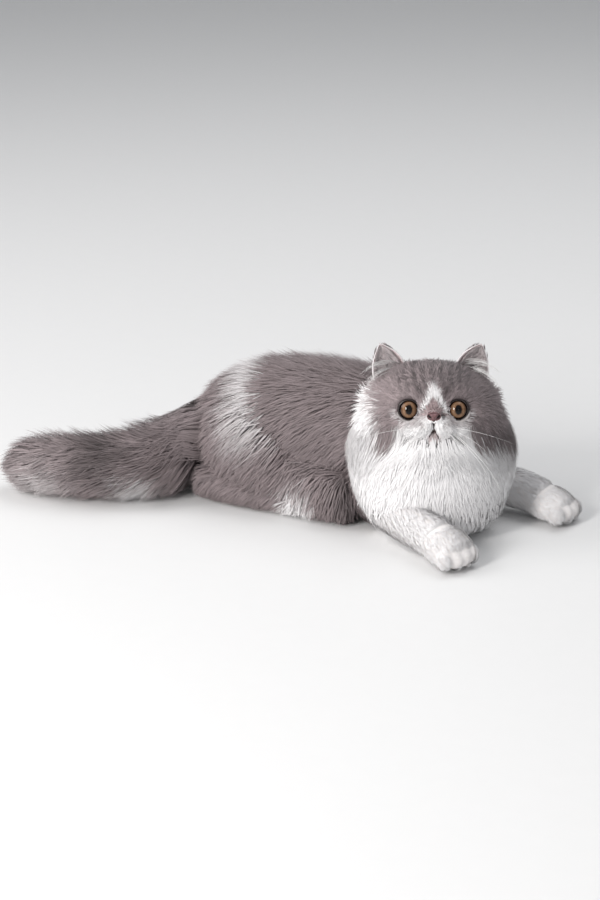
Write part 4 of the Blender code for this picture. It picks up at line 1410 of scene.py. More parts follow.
@dataclass
class EarSide:
    """One face of an ear as a surface for hair: a is the rise up it, b the place across it."""

    ear: Ear
    facing: int  # 1 for the cup's inside, -1 for its back
    coat: float = 3.0
    spread: Range = (0.0, 0.93, -0.97, 0.97)

    def place(self, a: Array, b: Array, lift: Array | float) -> Array:
        """Places on the leaf, moved off it along its own normal by the lift."""
        a, b = np.clip(a, 0.0, 0.995), np.clip(b, -1.0, 1.0)
        step = 0.01
        here = self.ear.leaf(a, b)
        across = self.ear.leaf(a, np.minimum(b + step, 1.0)) - self.ear.leaf(a, b - step)
        up = self.ear.leaf(np.minimum(a + step, 0.995), b) - self.ear.leaf(np.maximum(a - step, 0), b)
        normal = unit(np.cross(across, up))
        normal = np.where(normal[:, 2:] < 0, -normal, normal) * self.facing
        wall = self.ear.wall * 0.8 if self.facing < 0 else 0.0
        off = np.broadcast_to(np.asarray(lift, float) + wall, a.shape)
        return HEAD.to_world(here + normal * off[:, None])

    def coat_at(self, a: Array, b: Array) -> Array:
        """The same depth all over."""
        return np.full(len(a), self.coat)


def slopes(surface: Surface, a: Array, b: Array, lift: Array | float) -> tuple[Array, Array, Array]:
    """Places on a surface, and how fast they move with each of its two measures."""
    here, step = surface.place(a, b, lift), 1e-3
    slope_a = (surface.place(a + step, b, lift) - here) / step
    return here, slope_a, (surface.place(a, b + step, lift) - here) / step


def walk(
    surface: Surface, a: Array, b: Array, lift: Array, toward: Array, distance: Array
) -> tuple[Array, Array]:
    """Moves over a surface's two measures by a distance along a direction in space.

    Args:
        surface: the form that is walked on.
        a: first measure of each place.
        b: second measure of each place.
        lift: height above the skin.
        toward: wanted direction in space.
        distance: how far to go, in mm.

    Returns:
        The new measures. The direction taken is the wanted one laid on the surface by least
        squares over the slopes of the two measures.
    """
    _, slope_a, slope_b = slopes(surface, a, b, lift)
    aa, bb, ab = dot(slope_a, slope_a) + 1e-3, dot(slope_b, slope_b) + 1e-3, dot(slope_a, slope_b)
    ta, tb = dot(slope_a, toward), dot(slope_b, toward)
    span = np.maximum(aa * bb - ab * ab, 1e-6)
    move_a, move_b = (ta * bb - tb * ab) / span, (tb * aa - ta * ab) / span
    taken = slope_a * move_a[:, None] + slope_b * move_b[:, None]
    run = np.maximum(np.linalg.norm(taken, axis=1), 1e-6)
    return a + move_a * distance / run, b + move_b * distance / run


@dataclass(frozen=True)
class Growth:
    """How a stretch of coat grows. Lengths and widths are in mm."""

    length: float
    width: float
    depth: tuple[float, float] = (0.0, 1.0)
    rise: float = 0.8
    clump: float = 0.6
    lock: float = 9.0
    wave: float = 0.0
    waves: float = 1.0
    stray: float = 0.22
    uneven: float = 0.25
    fuzz: float = 1.2
    tone: float = 0.22
    light: float = 1.0
    thick: float = 0.16
    soft: float = 0.65  # how much a tuft is shaded by the body's form under it
    tops: tuple[float, float] = (0.72, 1.08)  # uneven heights of the tips
    hang: float = 0.0  # how much a tuft leaves the skin's curve and runs straight on
    mingle: float = 1.8  # how far the colours mix over a marking's edge


@dataclass
class Layer:
    """One stretch of coat on one surface."""

    surface: Surface
    growth: Growth
    lie: Lie
    white: Mask
    own: str
    weight: float = 1.0
    area: Range | None = None
    keep: Mask | None = None
    warm: Mask | None = None
    # shade darkens the tone: the face's darker streaks, and painted shade in folds, creases and the tail's
    # core.
    shade: Mask | None = None
    scale: Mask | None = None  # share of the full length by place
    over: tuple[str, float] | None = None  # limb that the tufts hang over, and how far outside it

    def candidates(self, draw: Draw, count: int) -> tuple[Array, Array, float]:
        """Roots spread evenly over the surface's area, and the area in square mm that they fill.

        Twice as many places as asked are drawn with a chance that follows the area each
        stands for; those inside other limbs or left out by keep are dropped.
        """
        low_a, high_a, low_b, high_b = self.area or self.surface.spread
        many = max(4000, count * 5)
        a, b = draw.uniform(low_a, high_a, many), draw.uniform(low_b, high_b, many)
        here, slope_a, slope_b = slopes(self.surface, a, b, 0.0)
        each = np.linalg.norm(np.cross(slope_a, slope_b), axis=1)
        whole = float(each.mean() * (high_a - low_a) * (high_b - low_b))
        pick = draw.choice(many, min(many, max(2000, count * 2)), p=each / each.sum())
        a, b, here = a[pick], b[pick], here[pick]
        good = ~BODY.buried(here, self.own) & (here[:, 2] > 0.5)
        if self.keep is not None:
            good &= self.keep(here)
        return a[good], b[good], whole * float(good.mean())

    def drape(self, places: Array, outs: Array, s: float) -> tuple[Array, Array]:
        """Moves places off the coat of the limb that the tufts hang over, more towards the tip.

        Args:
            places: one place on each tuft's line.
            outs: the outward direction at each.
            s: how far along the tuft they are, from 0 to 1.

        Returns:
            The places, and the outward directions, turned to the limb's own where they moved.
        """
        name, depth = self.over
        limb = BODY.limbs[name]
        away = unit(places - limb.rows_at(limb.nearest(places))[:, :3])
        lack = np.maximum(depth - limb.outside(places), 0.0) * min(1.0, 1.7 * s)
        share = np.clip(lack / 5.0, 0.0, 1.0)[:, None]
        return places + away * lack[:, None], unit(outs * (1 - share) + away * share)


@dataclass
class Coat:
    """One piece of coat: thin flat tufts on several layers, drawn together into locks.

    A tuft is a three-sided prism along a line that leaves the skin and follows the lie of the
    coat, broadest a third of the way up and closed by a point.
    """

    name: str
    slot: Slot
    budget: int
    rings: int = 3
    layers: list[Layer] = field(default_factory=list)
    formed: bool = True  # shaded partly by the body's form under it
    seed: int = SEED
    block: int = 2000  # roots compared with the locks at a time

    def widths(self) -> Array:
        """Share of the full width at each ring, from the root to just short of the tip."""
        s = np.linspace(0.0, 1.0, self.rings + 1)[:-1]
        return 0.5 + 0.5 * np.sin(np.pi * (0.12 + 0.62 * s)) - 0.35 * s**2

    def lines(self, layer: Layer, a: Array, b: Array, draw: Draw) -> tuple[Array, Array]:
        """Walks each tuft's line over its surface while it rises through the coat.

        Args:
            layer: the stretch of coat.
            a: first measure of each root.
            b: second measure of each root.
            draw: where the random numbers come from.

        Returns:
            Places along each line, and the surface's outward direction there.
        """
        growth, surface = layer.growth, layer.surface
        stops = np.linspace(0.0, 1.0, self.rings + 1)
        coat = surface.coat_at(a, b)
        here = surface.place(a, b, coat * growth.depth[0])
        length = growth.length * draw.uniform(1 - growth.uneven, 1 + growth.uneven, len(a))
        if layer.scale is not None:
            length = length * layer.scale(here)
        top = growth.depth[1] * draw.uniform(*growth.tops, len(a))
        bend = draw.normal(0.0, growth.stray, len(a))
        turn = draw.normal(0.0, growth.stray * 0.8, len(a))
        places, outs = [], []
        for rank, s in enumerate(stops):
            lift = coat * (growth.depth[0] + (top - growth.depth[0]) * s**growth.rise)
            if rank:
                toward = unit(layer.lie(here)) + side * (turn + bend * s)[:, None]
                a, b = walk(surface, a, b, lift, toward, (s - stops[rank - 1]) * length)
            here = surface.place(a, b, lift)
            out = unit(surface.place(a, b, lift + 1.0) - here)
            if rank == 0:
                start, base, first, ahead = here, lift, out, unit(layer.lie(here))
                side = unit(np.cross(ahead, out))
            free = start + ahead * (s * length)[:, None] + first * (lift - base)[:, None]
            shown = here + growth.hang * (free - here)
            if layer.over:
                shown, out = layer.drape(shown, out, s)
            places.append(shown)
            outs.append(out)
        return np.stack(places, 1), np.stack(outs, 1)

    def drawn_together(self, growth: Growth, lines: Array, draw: Draw) -> tuple[Array, Array]:
        """Pulls each line towards the nearest lock's own line, more towards the tip.

        Args:
            growth: how wide the locks are, and how much they draw together.
            lines: places along each tuft's line.
            draw: where the random numbers come from.

        Returns:
            The lines, and the number of each one's lock.
        """
        roots = lines[:, 0]
        spread = len(lines)
        extent = roots.max(0) - roots.min(0)
        area = 2.2 * (extent[0] * extent[1] + extent[1] * extent[2] + extent[0] * extent[2])
        locks = int(np.clip(area / growth.lock**2, 6, spread // 4))
        guides = draw.choice(spread, locks, replace=False)
        owner = np.empty(spread, int)
        for start in range(0, spread, self.block):
            part = roots[start : start + self.block]
            gaps = ((part[:, None] - roots[guides][None]) ** 2).sum(2)
            owner[start : start + self.block] = np.argmin(gaps, axis=1)
        leaders = lines[guides][owner]
        s = np.linspace(0.0, 1.0, lines.shape[1])[None, :, None]
        near = np.exp(-(np.linalg.norm(leaders[:, 0] - roots, axis=1) / (1.6 * growth.lock)) ** 2)
        pull = growth.clump * s**1.25 * near[:, None, None]
        return lines + pull * (leaders - lines), owner

    def tufts(self, layer: Layer, count: int, rank: int, draw: Draw) -> dict[str, Array]:
        """All vertices, triangles and numbers of one layer's tufts."""
        growth = layer.growth
        a, b, _ = layer.candidates(draw, count)
        a, b = a[:count], b[:count]
        many = len(a)
        lines, outs = self.lines(layer, a, b, draw)
        lines, owner = self.drawn_together(growth, lines, draw)
        s = np.linspace(0.0, 1.0, self.rings + 1)
        per_lock = draw.uniform(0.0, 1.0, (owner.max() + 1, 3))[owner]
        ahead = unit(np.gradient(lines, axis=1))
        side = unit(np.cross(ahead, outs))
        swing = np.sin(math.tau * (growth.waves * s[None] + per_lock[:, :1])) * s[None]
        lines = lines + side * (growth.wave * swing)[..., None]
        loose = draw.normal(0.0, growth.fuzz, (many, 1, 3)) * (s**1.5)[None, :, None]
        lines = lines + loose
        ahead = unit(np.gradient(lines, axis=1))
        side = unit(np.cross(ahead, outs))
        above = np.cross(side, ahead)
        wide = growth.width * draw.uniform(0.7, 1.25, many)[:, None] * self.widths()[None]
        level = unit(outs * [1.0, 1.0, 0.0] + [1e-6, 0.0, 0.0]) + [0.0, 0.0, 1.0]
        lit = unit(outs + np.maximum(-outs[..., 2:], 0.0) * level)
        soft = growth.soft * lit + (1 - growth.soft) * above
        edge = (1 - growth.soft) * 0.9 * side
        normals = np.stack([soft - edge, soft, soft + edge], 2)[:, :-1].reshape(many, -1, 3)
        normals = unit(np.concatenate([normals, soft[:, -1:]], 1))
        ring, out = lines[:, :-1], above[:, :-1] * (wide * growth.thick)[..., None]
        across = side[:, :-1] * (wide / 2)[..., None]
        body = np.stack([ring - across, ring + out, ring + across], 2).reshape(many, -1, 3)
        points = np.concatenate([body, lines[:, -1:]], 1)
        low = FLOOR_CLEARANCE + draw.uniform(0.0, 2.0, many)[:, None]
        points[..., 2] = np.maximum(points[..., 2], low)
        roots = lines[:, 0]
        tone = growth.light * (
            1.0 + growth.tone * (2 * per_lock[:, 1] - 1) + growth.tone * 0.6 * draw.uniform(-1, 1, many)
        )
        # The layer's shade darkens the tone: its own darker streaks, and painted shade in folds, creases
        # and the tail's core.
        if layer.shade is not None:
            tone = tone * layer.shade(roots)
        white = np.clip(layer.white(roots + draw.normal(0.0, growth.mingle, roots.shape)), 0, 1)
        warm = layer.warm(roots) if layer.warm is not None else np.zeros(many)
        along = np.concatenate([np.repeat(s[:-1], 3), [1.0]])
        size = points.shape[1]
        return {
            "points": points.reshape(-1, 3),
            "normals": normals.reshape(-1, 3),
            "along": np.tile(along, many),
            "tone": np.repeat(tone, size),
            "white": np.repeat(white, size),
            "warm": np.repeat(warm, size),
            "flat": self.unwrap(layer, a, b, rank, along).reshape(-1, 2),
        }

    def unwrap(self, layer: Layer, a: Array, b: Array, rank: int, along: Array) -> Array:
        """Places on the flat map: a patch 0.003 across for each tuft, at its root's own place.

        Each layer has a column of the map, with the surface's two measures as its sides.
        """
        low_a, high_a, low_b, high_b = layer.area or layer.surface.spread
        part = 1.0 / len(self.layers)
        over = np.clip((b - low_b) / (high_b - low_b), 0.0, 1.0)
        up = np.clip((a - low_a) / (high_a - low_a), 0.0, 1.0)
        root = np.stack([part * (rank + 0.03 + 0.94 * over), 0.02 + 0.955 * up], 1)
        sideways = np.concatenate([np.tile([-0.0015, 0.0, 0.0015], self.rings), [0.0]])
        return root[:, None] + np.stack([sideways, along * 0.003], 1)[None]

    def corners(self) -> Array:
        """The triangles of one tuft, wound so that they face out."""
        faces = [(0, 2, 1)]
        for ring in range(self.rings - 1):
            start, after = 3 * ring, 3 * ring + 3
            for i, j in ((0, 1), (1, 2), (2, 0)):
                faces += [(start + i, start + j, after + j), (start + i, after + j, after + i)]
        last, tip = 3 * (self.rings - 1), 3 * self.rings
        faces += [(last, last + 1, tip), (last + 1, last + 2, tip), (last + 2, last, tip)]
        return np.array(faces)

    def undersides(self) -> Array:
        """-1 for the corners of a tuft's triangles that face the skin, 1 for the others."""
        under = [True] + [False, False, False, False, True, True] * (self.rings - 1) + [False, False, True]
        return np.where(np.repeat(under, 3), -1.0, 1.0)

    def build(self) -> Piece:
        """Grows every layer, with the budget shared out by area, and makes the piece."""
        draw = np.random.default_rng(self.seed)
        shares = [layer.candidates(draw, 600)[2] * layer.weight for layer in self.layers]
        grown = []
        for rank, (layer, share) in enumerate(zip(self.layers, shares)):
            count = round(self.budget * share / sum(shares))
            if count > 3:
                grown.append(self.tufts(layer, count, rank, draw))
        whole = {key: np.concatenate([part[key] for part in grown]) for key in grown[0]}
        size = 3 * self.rings + 1
        many = len(whole["points"]) // size
        corners = (self.corners()[None] + size * np.arange(many)[:, None, None]).reshape(-1, 3)
        each = whole["normals"].reshape(many, size, 3)[:, self.corners().ravel()]
        each = each * self.undersides()[None, :, None]
        normals = each.reshape(-1, 3) if self.formed else None
        piece = put_triangles(self.name, whole["points"], corners, normals)
        for key in ("along", "tone", "white", "warm"):
            set_attribute(piece, key, whole[key])
        layout = piece.data.uv_layers.new(name="OFBake")
        used = np.empty(len(piece.data.loops), np.int32)
        piece.data.loops.foreach_get("vertex_index", used)
        layout.data.foreach_set("uv", whole["flat"][used].astype(np.float32).ravel())
        return piece


class Lies:
    """Directions in which the coat lies, for places in mm."""

    @staticmethod
    def trunk(places: Array) -> Array:
        """Backwards along the spine, and downwards on the sides, as the solids' locks."""
        down = -0.25 - 0.016 * np.abs(places[:, 1] - HIP_LINE)
        return np.stack([np.full(len(places), -1.0), 0 * down, down], 1)

    @staticmethod
    def to_tail(places: Array) -> Array:
        """From the end of the trunk on to the tail, which it covers."""
        return np.array([-150.0, -84.0, 36.0]) - places

    @staticmethod
    def bib(places: Array) -> Array:
        """Down the chest, parted a little from the middle line."""
        middle = np.array([124.0, -34.0, 60.0])
        across = np.array([-FACE_AHEAD[1], FACE_AHEAD[0], 0.0])
        off = (places - middle) @ across
        return np.array([0.0, 0.0, -1.0]) + across * (off * 0.008)[:, None]

    @staticmethod
    def tail(places: Array) -> Array:
        """Towards the tip, fanning away from the middle line and drooping a little."""
        limb = BODY.limbs["tail"]
        u = limb.nearest(places)
        away = unit(places - limb.rows_at(u)[:, :3])
        return limb.frames_at(u)[0] + 0.45 * away * [1, 1, 0.6] + np.array([0.0, 0.0, -0.22])

    @staticmethod
    def along(name: str, drop: float) -> Lie:
        """Ahead along a limb and a little down."""

        def lie(places: Array) -> Array:
            """The limb's own direction at each place, turned down by drop."""
            return BODY.limbs[name].along(places) + np.array([0.0, 0.0, -drop])

        return lie

    @staticmethod
    def ruff(places: Array) -> Array:
        """Outwards from the chin and down."""
        local = HEAD.to_head(places)
        away = unit((local - np.array([0.0, -14.0, 30.0])) * [1.0, 0.5, 0.3])
        return (away * [0.3, 0.6, 0.5] + np.array([0.0, -1.0, 0.1])) @ HEAD.axes

    @staticmethod
    def head(places: Array) -> Array:
        """Outwards from the nose, round the eyes, and drooping on the cheeks."""
        local = HEAD.to_head(places)
        away = unit(local - np.array([0.0, -5.0, 44.0]))
        for side in (-1, 1):
            centre, axes = HEAD.eye_axis(side)
            from_eye = (local - centre) @ axes.T
            off = np.hypot(from_eye[:, 0], from_eye[:, 1])
            out = unit(from_eye * [1.0, 1.0, 0.0]) @ axes
            away = away + out * (0.8 * np.exp(-((off / 13.0) ** 2)))[:, None]
        chin = smooth(-12.0, -24.0, local[:, 1]) * smooth(-10.0, 20.0, local[:, 2])
        away = away + np.array([0.0, -1.5, 0.0]) * chin[:, None]
        side_hair = smooth(26.0, 44.0, np.abs(local[:, 0])) * smooth(20.0, -10.0, local[:, 1])
        away = away + np.array([0.0, -0.6, 0.0]) * side_hair[:, None]
        muzzle = smooth(16.0, 8.0, np.hypot(local[:, 0], local[:, 1] + 15.0))
        away = away + np.array([0.0, -0.7, 0.0]) * muzzle[:, None]
        return away @ HEAD.axes


class Wardrobe:
    """Lays out every piece of coat over the body."""

    parting = 66.0  # the height in mm at which the back's coat gives way to the sides'
    body = Growth(36.0, 1.25, (0.04, 1.0), 0.75, clump=0.45, lock=7.0, stray=0.14, tone=0.15)
    rump = Growth(56.0, 1.3, (0.05, 1.0), 0.9, clump=0.4, lock=8.0, stray=0.14, tone=0.15, hang=0.75)
    side = Growth(34.0, 1.25, (0.04, 1.0), 0.75, clump=0.5, lock=7.0, stray=0.16, tone=0.17)
    under = Growth(
        40.0, 3.6, (0.7, 0.95), 0.6, 0.1, 9.0, wave=1.0, tone=0.04, thick=0.03, soft=0.95, tops=(0.97, 1.0)
    )
    chest = Growth(
        38.0, 1.7, (0.82, 1.0), 0.7, 0.3, 12.0, wave=2.0, waves=0.8, stray=0.12, fuzz=0.5, tone=0.06,
        thick=0.05, soft=0.9, tops=(0.97, 1.02),
    )
    plume = Growth(42.0, 1.2, (0.10, 1.05), 0.8, 0.55, 8.0, wave=0.8, stray=0.18, tone=0.26)
    hip = Growth(40.0, 1.25, (0.04, 1.0), 0.75, clump=0.5, lock=7.0, stray=0.16, tone=0.17)
    arm = Growth(30.0, 1.1, (0.04, 1.0), 0.8, clump=0.5, lock=6.0, stray=0.16, tone=0.17)
    leg = Growth(
        9.0, 0.8, (0.0, 0.5), 0.7, 0.06, 4.0, fuzz=0.15, tone=0.04, thick=0.05, soft=0.94, tops=(0.92, 1.0)
    )
    foot = Growth(20.0, 1.0, (0.0, 0.95), 0.8, clump=0.4, lock=5.0, fuzz=0.5)
    paw = Growth(
        5.5, 0.6, (0.0, 0.5), 0.7, 0.08, 3.0, fuzz=0.12, tone=0.04, thick=0.07, soft=0.92, tops=(0.9, 1.0)
    )
    face = Growth(9.5, 0.62, (0.0, 0.85), 0.9, 0.4, 3.5, fuzz=0.3, tone=0.26, soft=0.6, mingle=0.7)
    cheek = Growth(25.0, 1.0, (0.03, 1.05), 0.75, clump=0.45, lock=6.0, fuzz=0.8, tone=0.14)
    ruff = Growth(
        36.0, 1.7, (0.05, 0.4), 1.0, 0.2, 10.0, stray=0.14, fuzz=0.8, tone=0.06, thick=0.05,
        soft=0.9, tops=(0.75, 1.05), hang=0.7,
    )
    beard = Growth(
        24.0, 1.7, (0.05, 0.6), 0.9, 0.1, 8.0, stray=0.16, fuzz=0.6, tone=0.05, thick=0.04,
        soft=0.93, hang=0.6,
    )

    def limb(self, name: str, growth: Growth, lie: Lie, **more: Any) -> Layer:
        """A layer over one limb, with the limb's own markings."""
        white = lambda places: MARKINGS.limb(name, places)
        return Layer(BODY.limbs[name], growth, lie, white, name, **more)

    def fold(self, places: Array) -> Array:
        """Painted shade in the fold between the flank and the upper arm of the near side, as a share that
        darkens the tufts there.
        """
        x, y, z = places.T
        line = np.exp(-(((x - 62.0 + 0.12 * z) / 7.0) ** 2)) * smooth(72.0, 50.0, z) * (y < HIP_LINE)
        return 1.0 - 0.5 * line

    def back(self) -> Coat:
        """The upper trunk and the nape."""
        top, low = lambda places: places[:, 2] > self.parting, lambda places: places[:, 2] < 76.0
        end = {"weight": 2.0, "area": (-0.1, 0.1, *ROUND), "keep": low, "over": ("tail", 27.0)}
        layers = [
            self.limb("trunk", self.body, Lies.trunk, keep=top),
            self.limb("nape", self.body, Lies.trunk, weight=0.9),
            self.limb("trunk", self.rump, Lies.to_tail, **end),
        ]
        return Coat("coat_back", Slot.GREY, 18000, 2, layers)

    def sides(self) -> Coat:
        """The lower trunk and both flanks, hanging to the floor."""
        low = lambda places: places[:, 2] <= self.parting
        # self.fold paints shade into the fold by the near upper arm.
        layers = [self.limb("trunk", self.side, Lies.trunk, keep=low, shade=self.fold)]
        for name in SIDES:
            layers.append(self.limb(f"flank_{name}", self.side, steady(-0.3, 0.0, -1.0), shade=self.fold))
        return Coat("coat_sides", Slot.GREY, 15000, 2, layers)

    def bib(self) -> Coat:
        """The white chest under the chin."""
        layers = [self.limb("bib", self.under, Lies.bib), self.limb("bib", self.chest, Lies.bib)]
        return Coat("coat_bib", Slot.WHITE, 11500, 3, layers)

    def tail(self) -> Coat:
        """The plume of the tail, with painted shade in its core."""
        # Painted shade deep in the plume, darkening the tufts round its upper core.
        plume_core_shade = lambda p: np.exp(-(((p[:, 0] + 152.0) / 20.0) ** 2) - ((p[:, 2] - 41.0) / 9.0) ** 2)
        layer = self.limb("tail", self.plume, Lies.tail, shade=lambda p: 1.0 - 0.55 * plume_core_shade(p))
        return Coat("coat_tail", Slot.GREY, 11000, 3, [layer])

    def hindquarters(self) -> Coat:
        """Thighs and hind feet."""
        layers = []
        for name in SIDES:
            layers.append(self.limb(f"thigh_{name}", self.hip, steady(-0.7, 0.0, -0.9)))
            end, high = (-0.11, 0.06, *ROUND), lambda places: places[:, 2] > 38.0
            more = {"weight": 1.8, "area": end, "keep": high, "over": ("tail", 27.0)}
            layers.append(self.limb(f"thigh_{name}", self.rump, Lies.to_tail, **more))
            foot = steady(-0.5, 0.0, -0.7)
            layers.append(self.limb(f"foot_{name}", self.foot, foot, weight=1.2))
        return Coat("coat_hindquarters", Slot.GREY, 18000, 2, layers)

    def forelegs(self) -> Coat:
        """Upper arms, forearms, paws and toes."""
        layers = []
        for name in SIDES:
            # self.fold paints shade into the fold by the near upper arm.
            layers.append(self.limb(f"arm_{name}", self.arm, steady(-0.2, 0.0, -1.0), shade=self.fold))
            fore = Lies.along(f"fore_{name}", 0.25)
            layers.append(self.limb(f"fore_{name}", self.leg, fore, weight=2.2))
            paw = Lies.along(f"paw_{name}", 0.15)
            layers.append(self.limb(f"paw_{name}", self.paw, paw, weight=3.0))
            white, lie = lambda places: np.ones(len(places)), Lies.along(f"paw_{name}", 0.5)
            for ball in BODY.toes[name]:
                layers.append(Layer(ball, self.paw, lie, white, ball.name, weight=3.0))
        return Coat("coat_forelegs", Slot.WHITE, 17000, 2, layers)

    def shade_face(self, places: Array) -> Array:
        """Darker streaks up the forehead, from the inner corners of the eyes and over the whisker pads, and
        painted shade in the creases beside the nose's bridge and between the folds of the cheeks.
        """
        local = HEAD.to_head(places)
        x, y, _ = local.T
        wide = np.abs(x)
        streaks = 0.5 + 0.5 * np.cos(x * 0.95 + 0.6 * np.sin(y * 0.3))
        brow = smooth(8.0, 22.0, y) * smooth(34.0, 20.0, wide)
        inner = np.exp(-(((wide - 9.5 - 0.25 * (y - 12.0)) / 2.0) ** 2) - ((y - 14.0) / 6.0) ** 2)
        # Painted shade in the creases along the bridge's edges and between the cheeks' folds.
        bridge_crease_shade = np.exp(-(((wide - (9.6 - y) * 0.72) / 0.7) ** 2)) * smooth(11.0, 8.0, y) * (y > -3.0)
        cheek_fold_shade = 0.5 + 0.5 * np.cos(y * 1.1 + 0.12 * wide)
        cheek = cheek_fold_shade * smooth(20.0, 28.0, wide) * smooth(8.0, -2.0, y) * smooth(-24.0, -12.0, y)
        pads = (0.5 + 0.5 * np.cos(16.0 * np.arctan2(wide - 2.0, -6.0 - y))) * smooth(22.0, 12.0, wide)
        pads = pads * smooth(-8.0, -12.0, y) * smooth(-30.0, -22.0, y)
        return 1.22 - 0.8 * brow * streaks - 0.8 * inner - 0.6 * bridge_crease_shade - 0.24 * cheek - 0.45 * pads

    def rosy(self, places: Array) -> Array:
        """Pinkish short hair on the bridge of the nose and on the chin."""
        x, y, z = HEAD.to_head(places).T
        wide = np.abs(x)
        bridge = smooth(0.6, -0.8, wide - (9.6 - y) * 0.72) * (y > -4.0)
        chin = smooth(3.0, -2.5, wide + 0.3 * y + 2.2) * smooth(-15.0, -18.0, y) * smooth(-42.0, -26.0, y)
        return np.clip(0.5 * bridge + 0.75 * chin, 0.0, 1.0) * smooth(18.0, 24.0, z)

    def face_fur(self) -> Coat:
        """Short fur of the face, kept off the eyes, the nose and the mouth's line."""

        def clear(places: Array) -> Array:
            """True off the eyes, the nose and the mouth."""
            local = HEAD.to_head(places)
            off = HEAD.from_eye(local)
            nose = np.hypot(local[:, 0], (local[:, 1] + 4.2) * 1.75) > 6.0
            gap = np.hypot(local[:, 0], (local[:, 1] + 16.6) * 0.55) > 2.2
            return (off > 9.7) & nose & gap & (HEAD.from_mouth(local) > 0.9)

        def scale(places: Array) -> Array:
            """Share of the full length: short round the nose and the eyes, long below."""
            local = HEAD.to_head(places)
            off = HEAD.from_eye(local)
            near_nose = smooth(6.0, 26.0, np.hypot(local[:, 0], local[:, 1] + 5.0))
            low = smooth(-17.0, -30.0, local[:, 1])
            return 0.36 + 0.64 * near_nose * (0.25 + 0.75 * smooth(10.0, 20.0, off)) + 1.1 * low

        more = {"keep": clear, "shade": self.shade_face, "warm": self.rosy, "scale": scale}
        area = (0.012, 1.05, *ROUND)
        layer = Layer(HEAD, self.face, Lies.head, MARKINGS.head, "head", area=area, **more)
        return Coat("coat_face", Slot.GREY, 14500, 2, [layer])

    def head_fur(self) -> Coat:
        """Longer fur of the cheeks, the crown and the back of the head."""

        def scale(places: Array) -> Array:
            """Share of the full length: half in front, more below."""
            local = HEAD.to_head(places)
            low = smooth(-8.0, -24.0, local[:, 1])
            return (0.5 + 0.5 * smooth(0.62, 0.1, unit(local)[:, 2])) * (1.0 + 0.5 * low)

        more = {"area": (0.86, 2.75, *ROUND), "shade": self.shade_face, "scale": scale}
        layer = Layer(HEAD, self.cheek, Lies.head, MARKINGS.head, "head", **more)
        return Coat("coat_head", Slot.GREY, 16000, 2, [layer])

    def ruff_fur(self) -> Coat:
        """Long white hair from the jaw and the lower cheeks, hanging over the chest."""

        def white(places: Array) -> Array:
            """The head's own markings, and white throughout below the cheeks."""
            low = smooth(-5.0, -13.0, HEAD.to_head(places)[:, 1])
            return np.maximum(MARKINGS.head(places), low)

        area = (0.72, 1.75, math.pi - 0.2, math.tau + 0.2)
        chin = (0.62, 1.0, 1.5 * math.pi - 0.6, 1.5 * math.pi + 0.6)
        layers = [
            Layer(HEAD, self.ruff, Lies.ruff, white, "head", area=area, over=("bib", 24.5)),
            Layer(HEAD, self.beard, Lies.ruff, white, "head", 3.5, chin, over=("bib", 24.0)),
        ]
        return Coat("coat_ruff", Slot.WHITE, 14500, 2, layers)

    def ear_fur(self, ears: Sequence[Ear]) -> Coat:
        """Short fur on the ears' backs and rims, the rims' pale hair brightened as painted rim light, and
        long pale tufts out of their cups.
        """
        layers = []
        back = Growth(6.0, 0.8, (0.0, 0.4), clump=0.3, lock=4.0, fuzz=0.2, light=1.4)
        # The rims' hair is pale and brightened further as painted rim light.
        rim = Growth(2.6, 0.4, (0.0, 0.5), clump=0.2, lock=3.0, fuzz=0.2, light=1.3)
        tuft = Growth(9.0, 0.4, (0.0, 0.7), rise=0.8, clump=0.4, lock=3.0, fuzz=0.3, light=1.9)
        grey = lambda places: np.zeros(len(places))
        pale = lambda places: np.full(len(places), 0.95)
        lilac = lambda places: np.full(len(places), 0.25)
        for ear in ears:
            up = HEAD.axes.T @ np.array([0.35 * ear.side, 1.0, 0.1])
            out = HEAD.axes.T @ np.array([1.0 * ear.side, 0.25, 0.35])
            backs = EarSide(ear, -1, spread=(0.0, 0.85, -0.85, 0.85))
            layers.append(Layer(backs, back, steady(*up), grey, "head", weight=2.0))
            for edge in ((-0.99, -0.93), (0.93, 0.99)):
                area = (0.05, 0.98, *edge)
                side = EarSide(ear, 1, 2.0)
                layers.append(Layer(side, rim, steady(*up), pale, "head", 2.0, area))
            area = (0.02, 0.85, -0.85, 0.85)
            layers.append(Layer(EarSide(ear, 1), tuft, steady(*(out + up)), lilac, "head", 5.0, area))
        return Coat("coat_ears", Slot.GREY, 4200, 2, layers, formed=False)


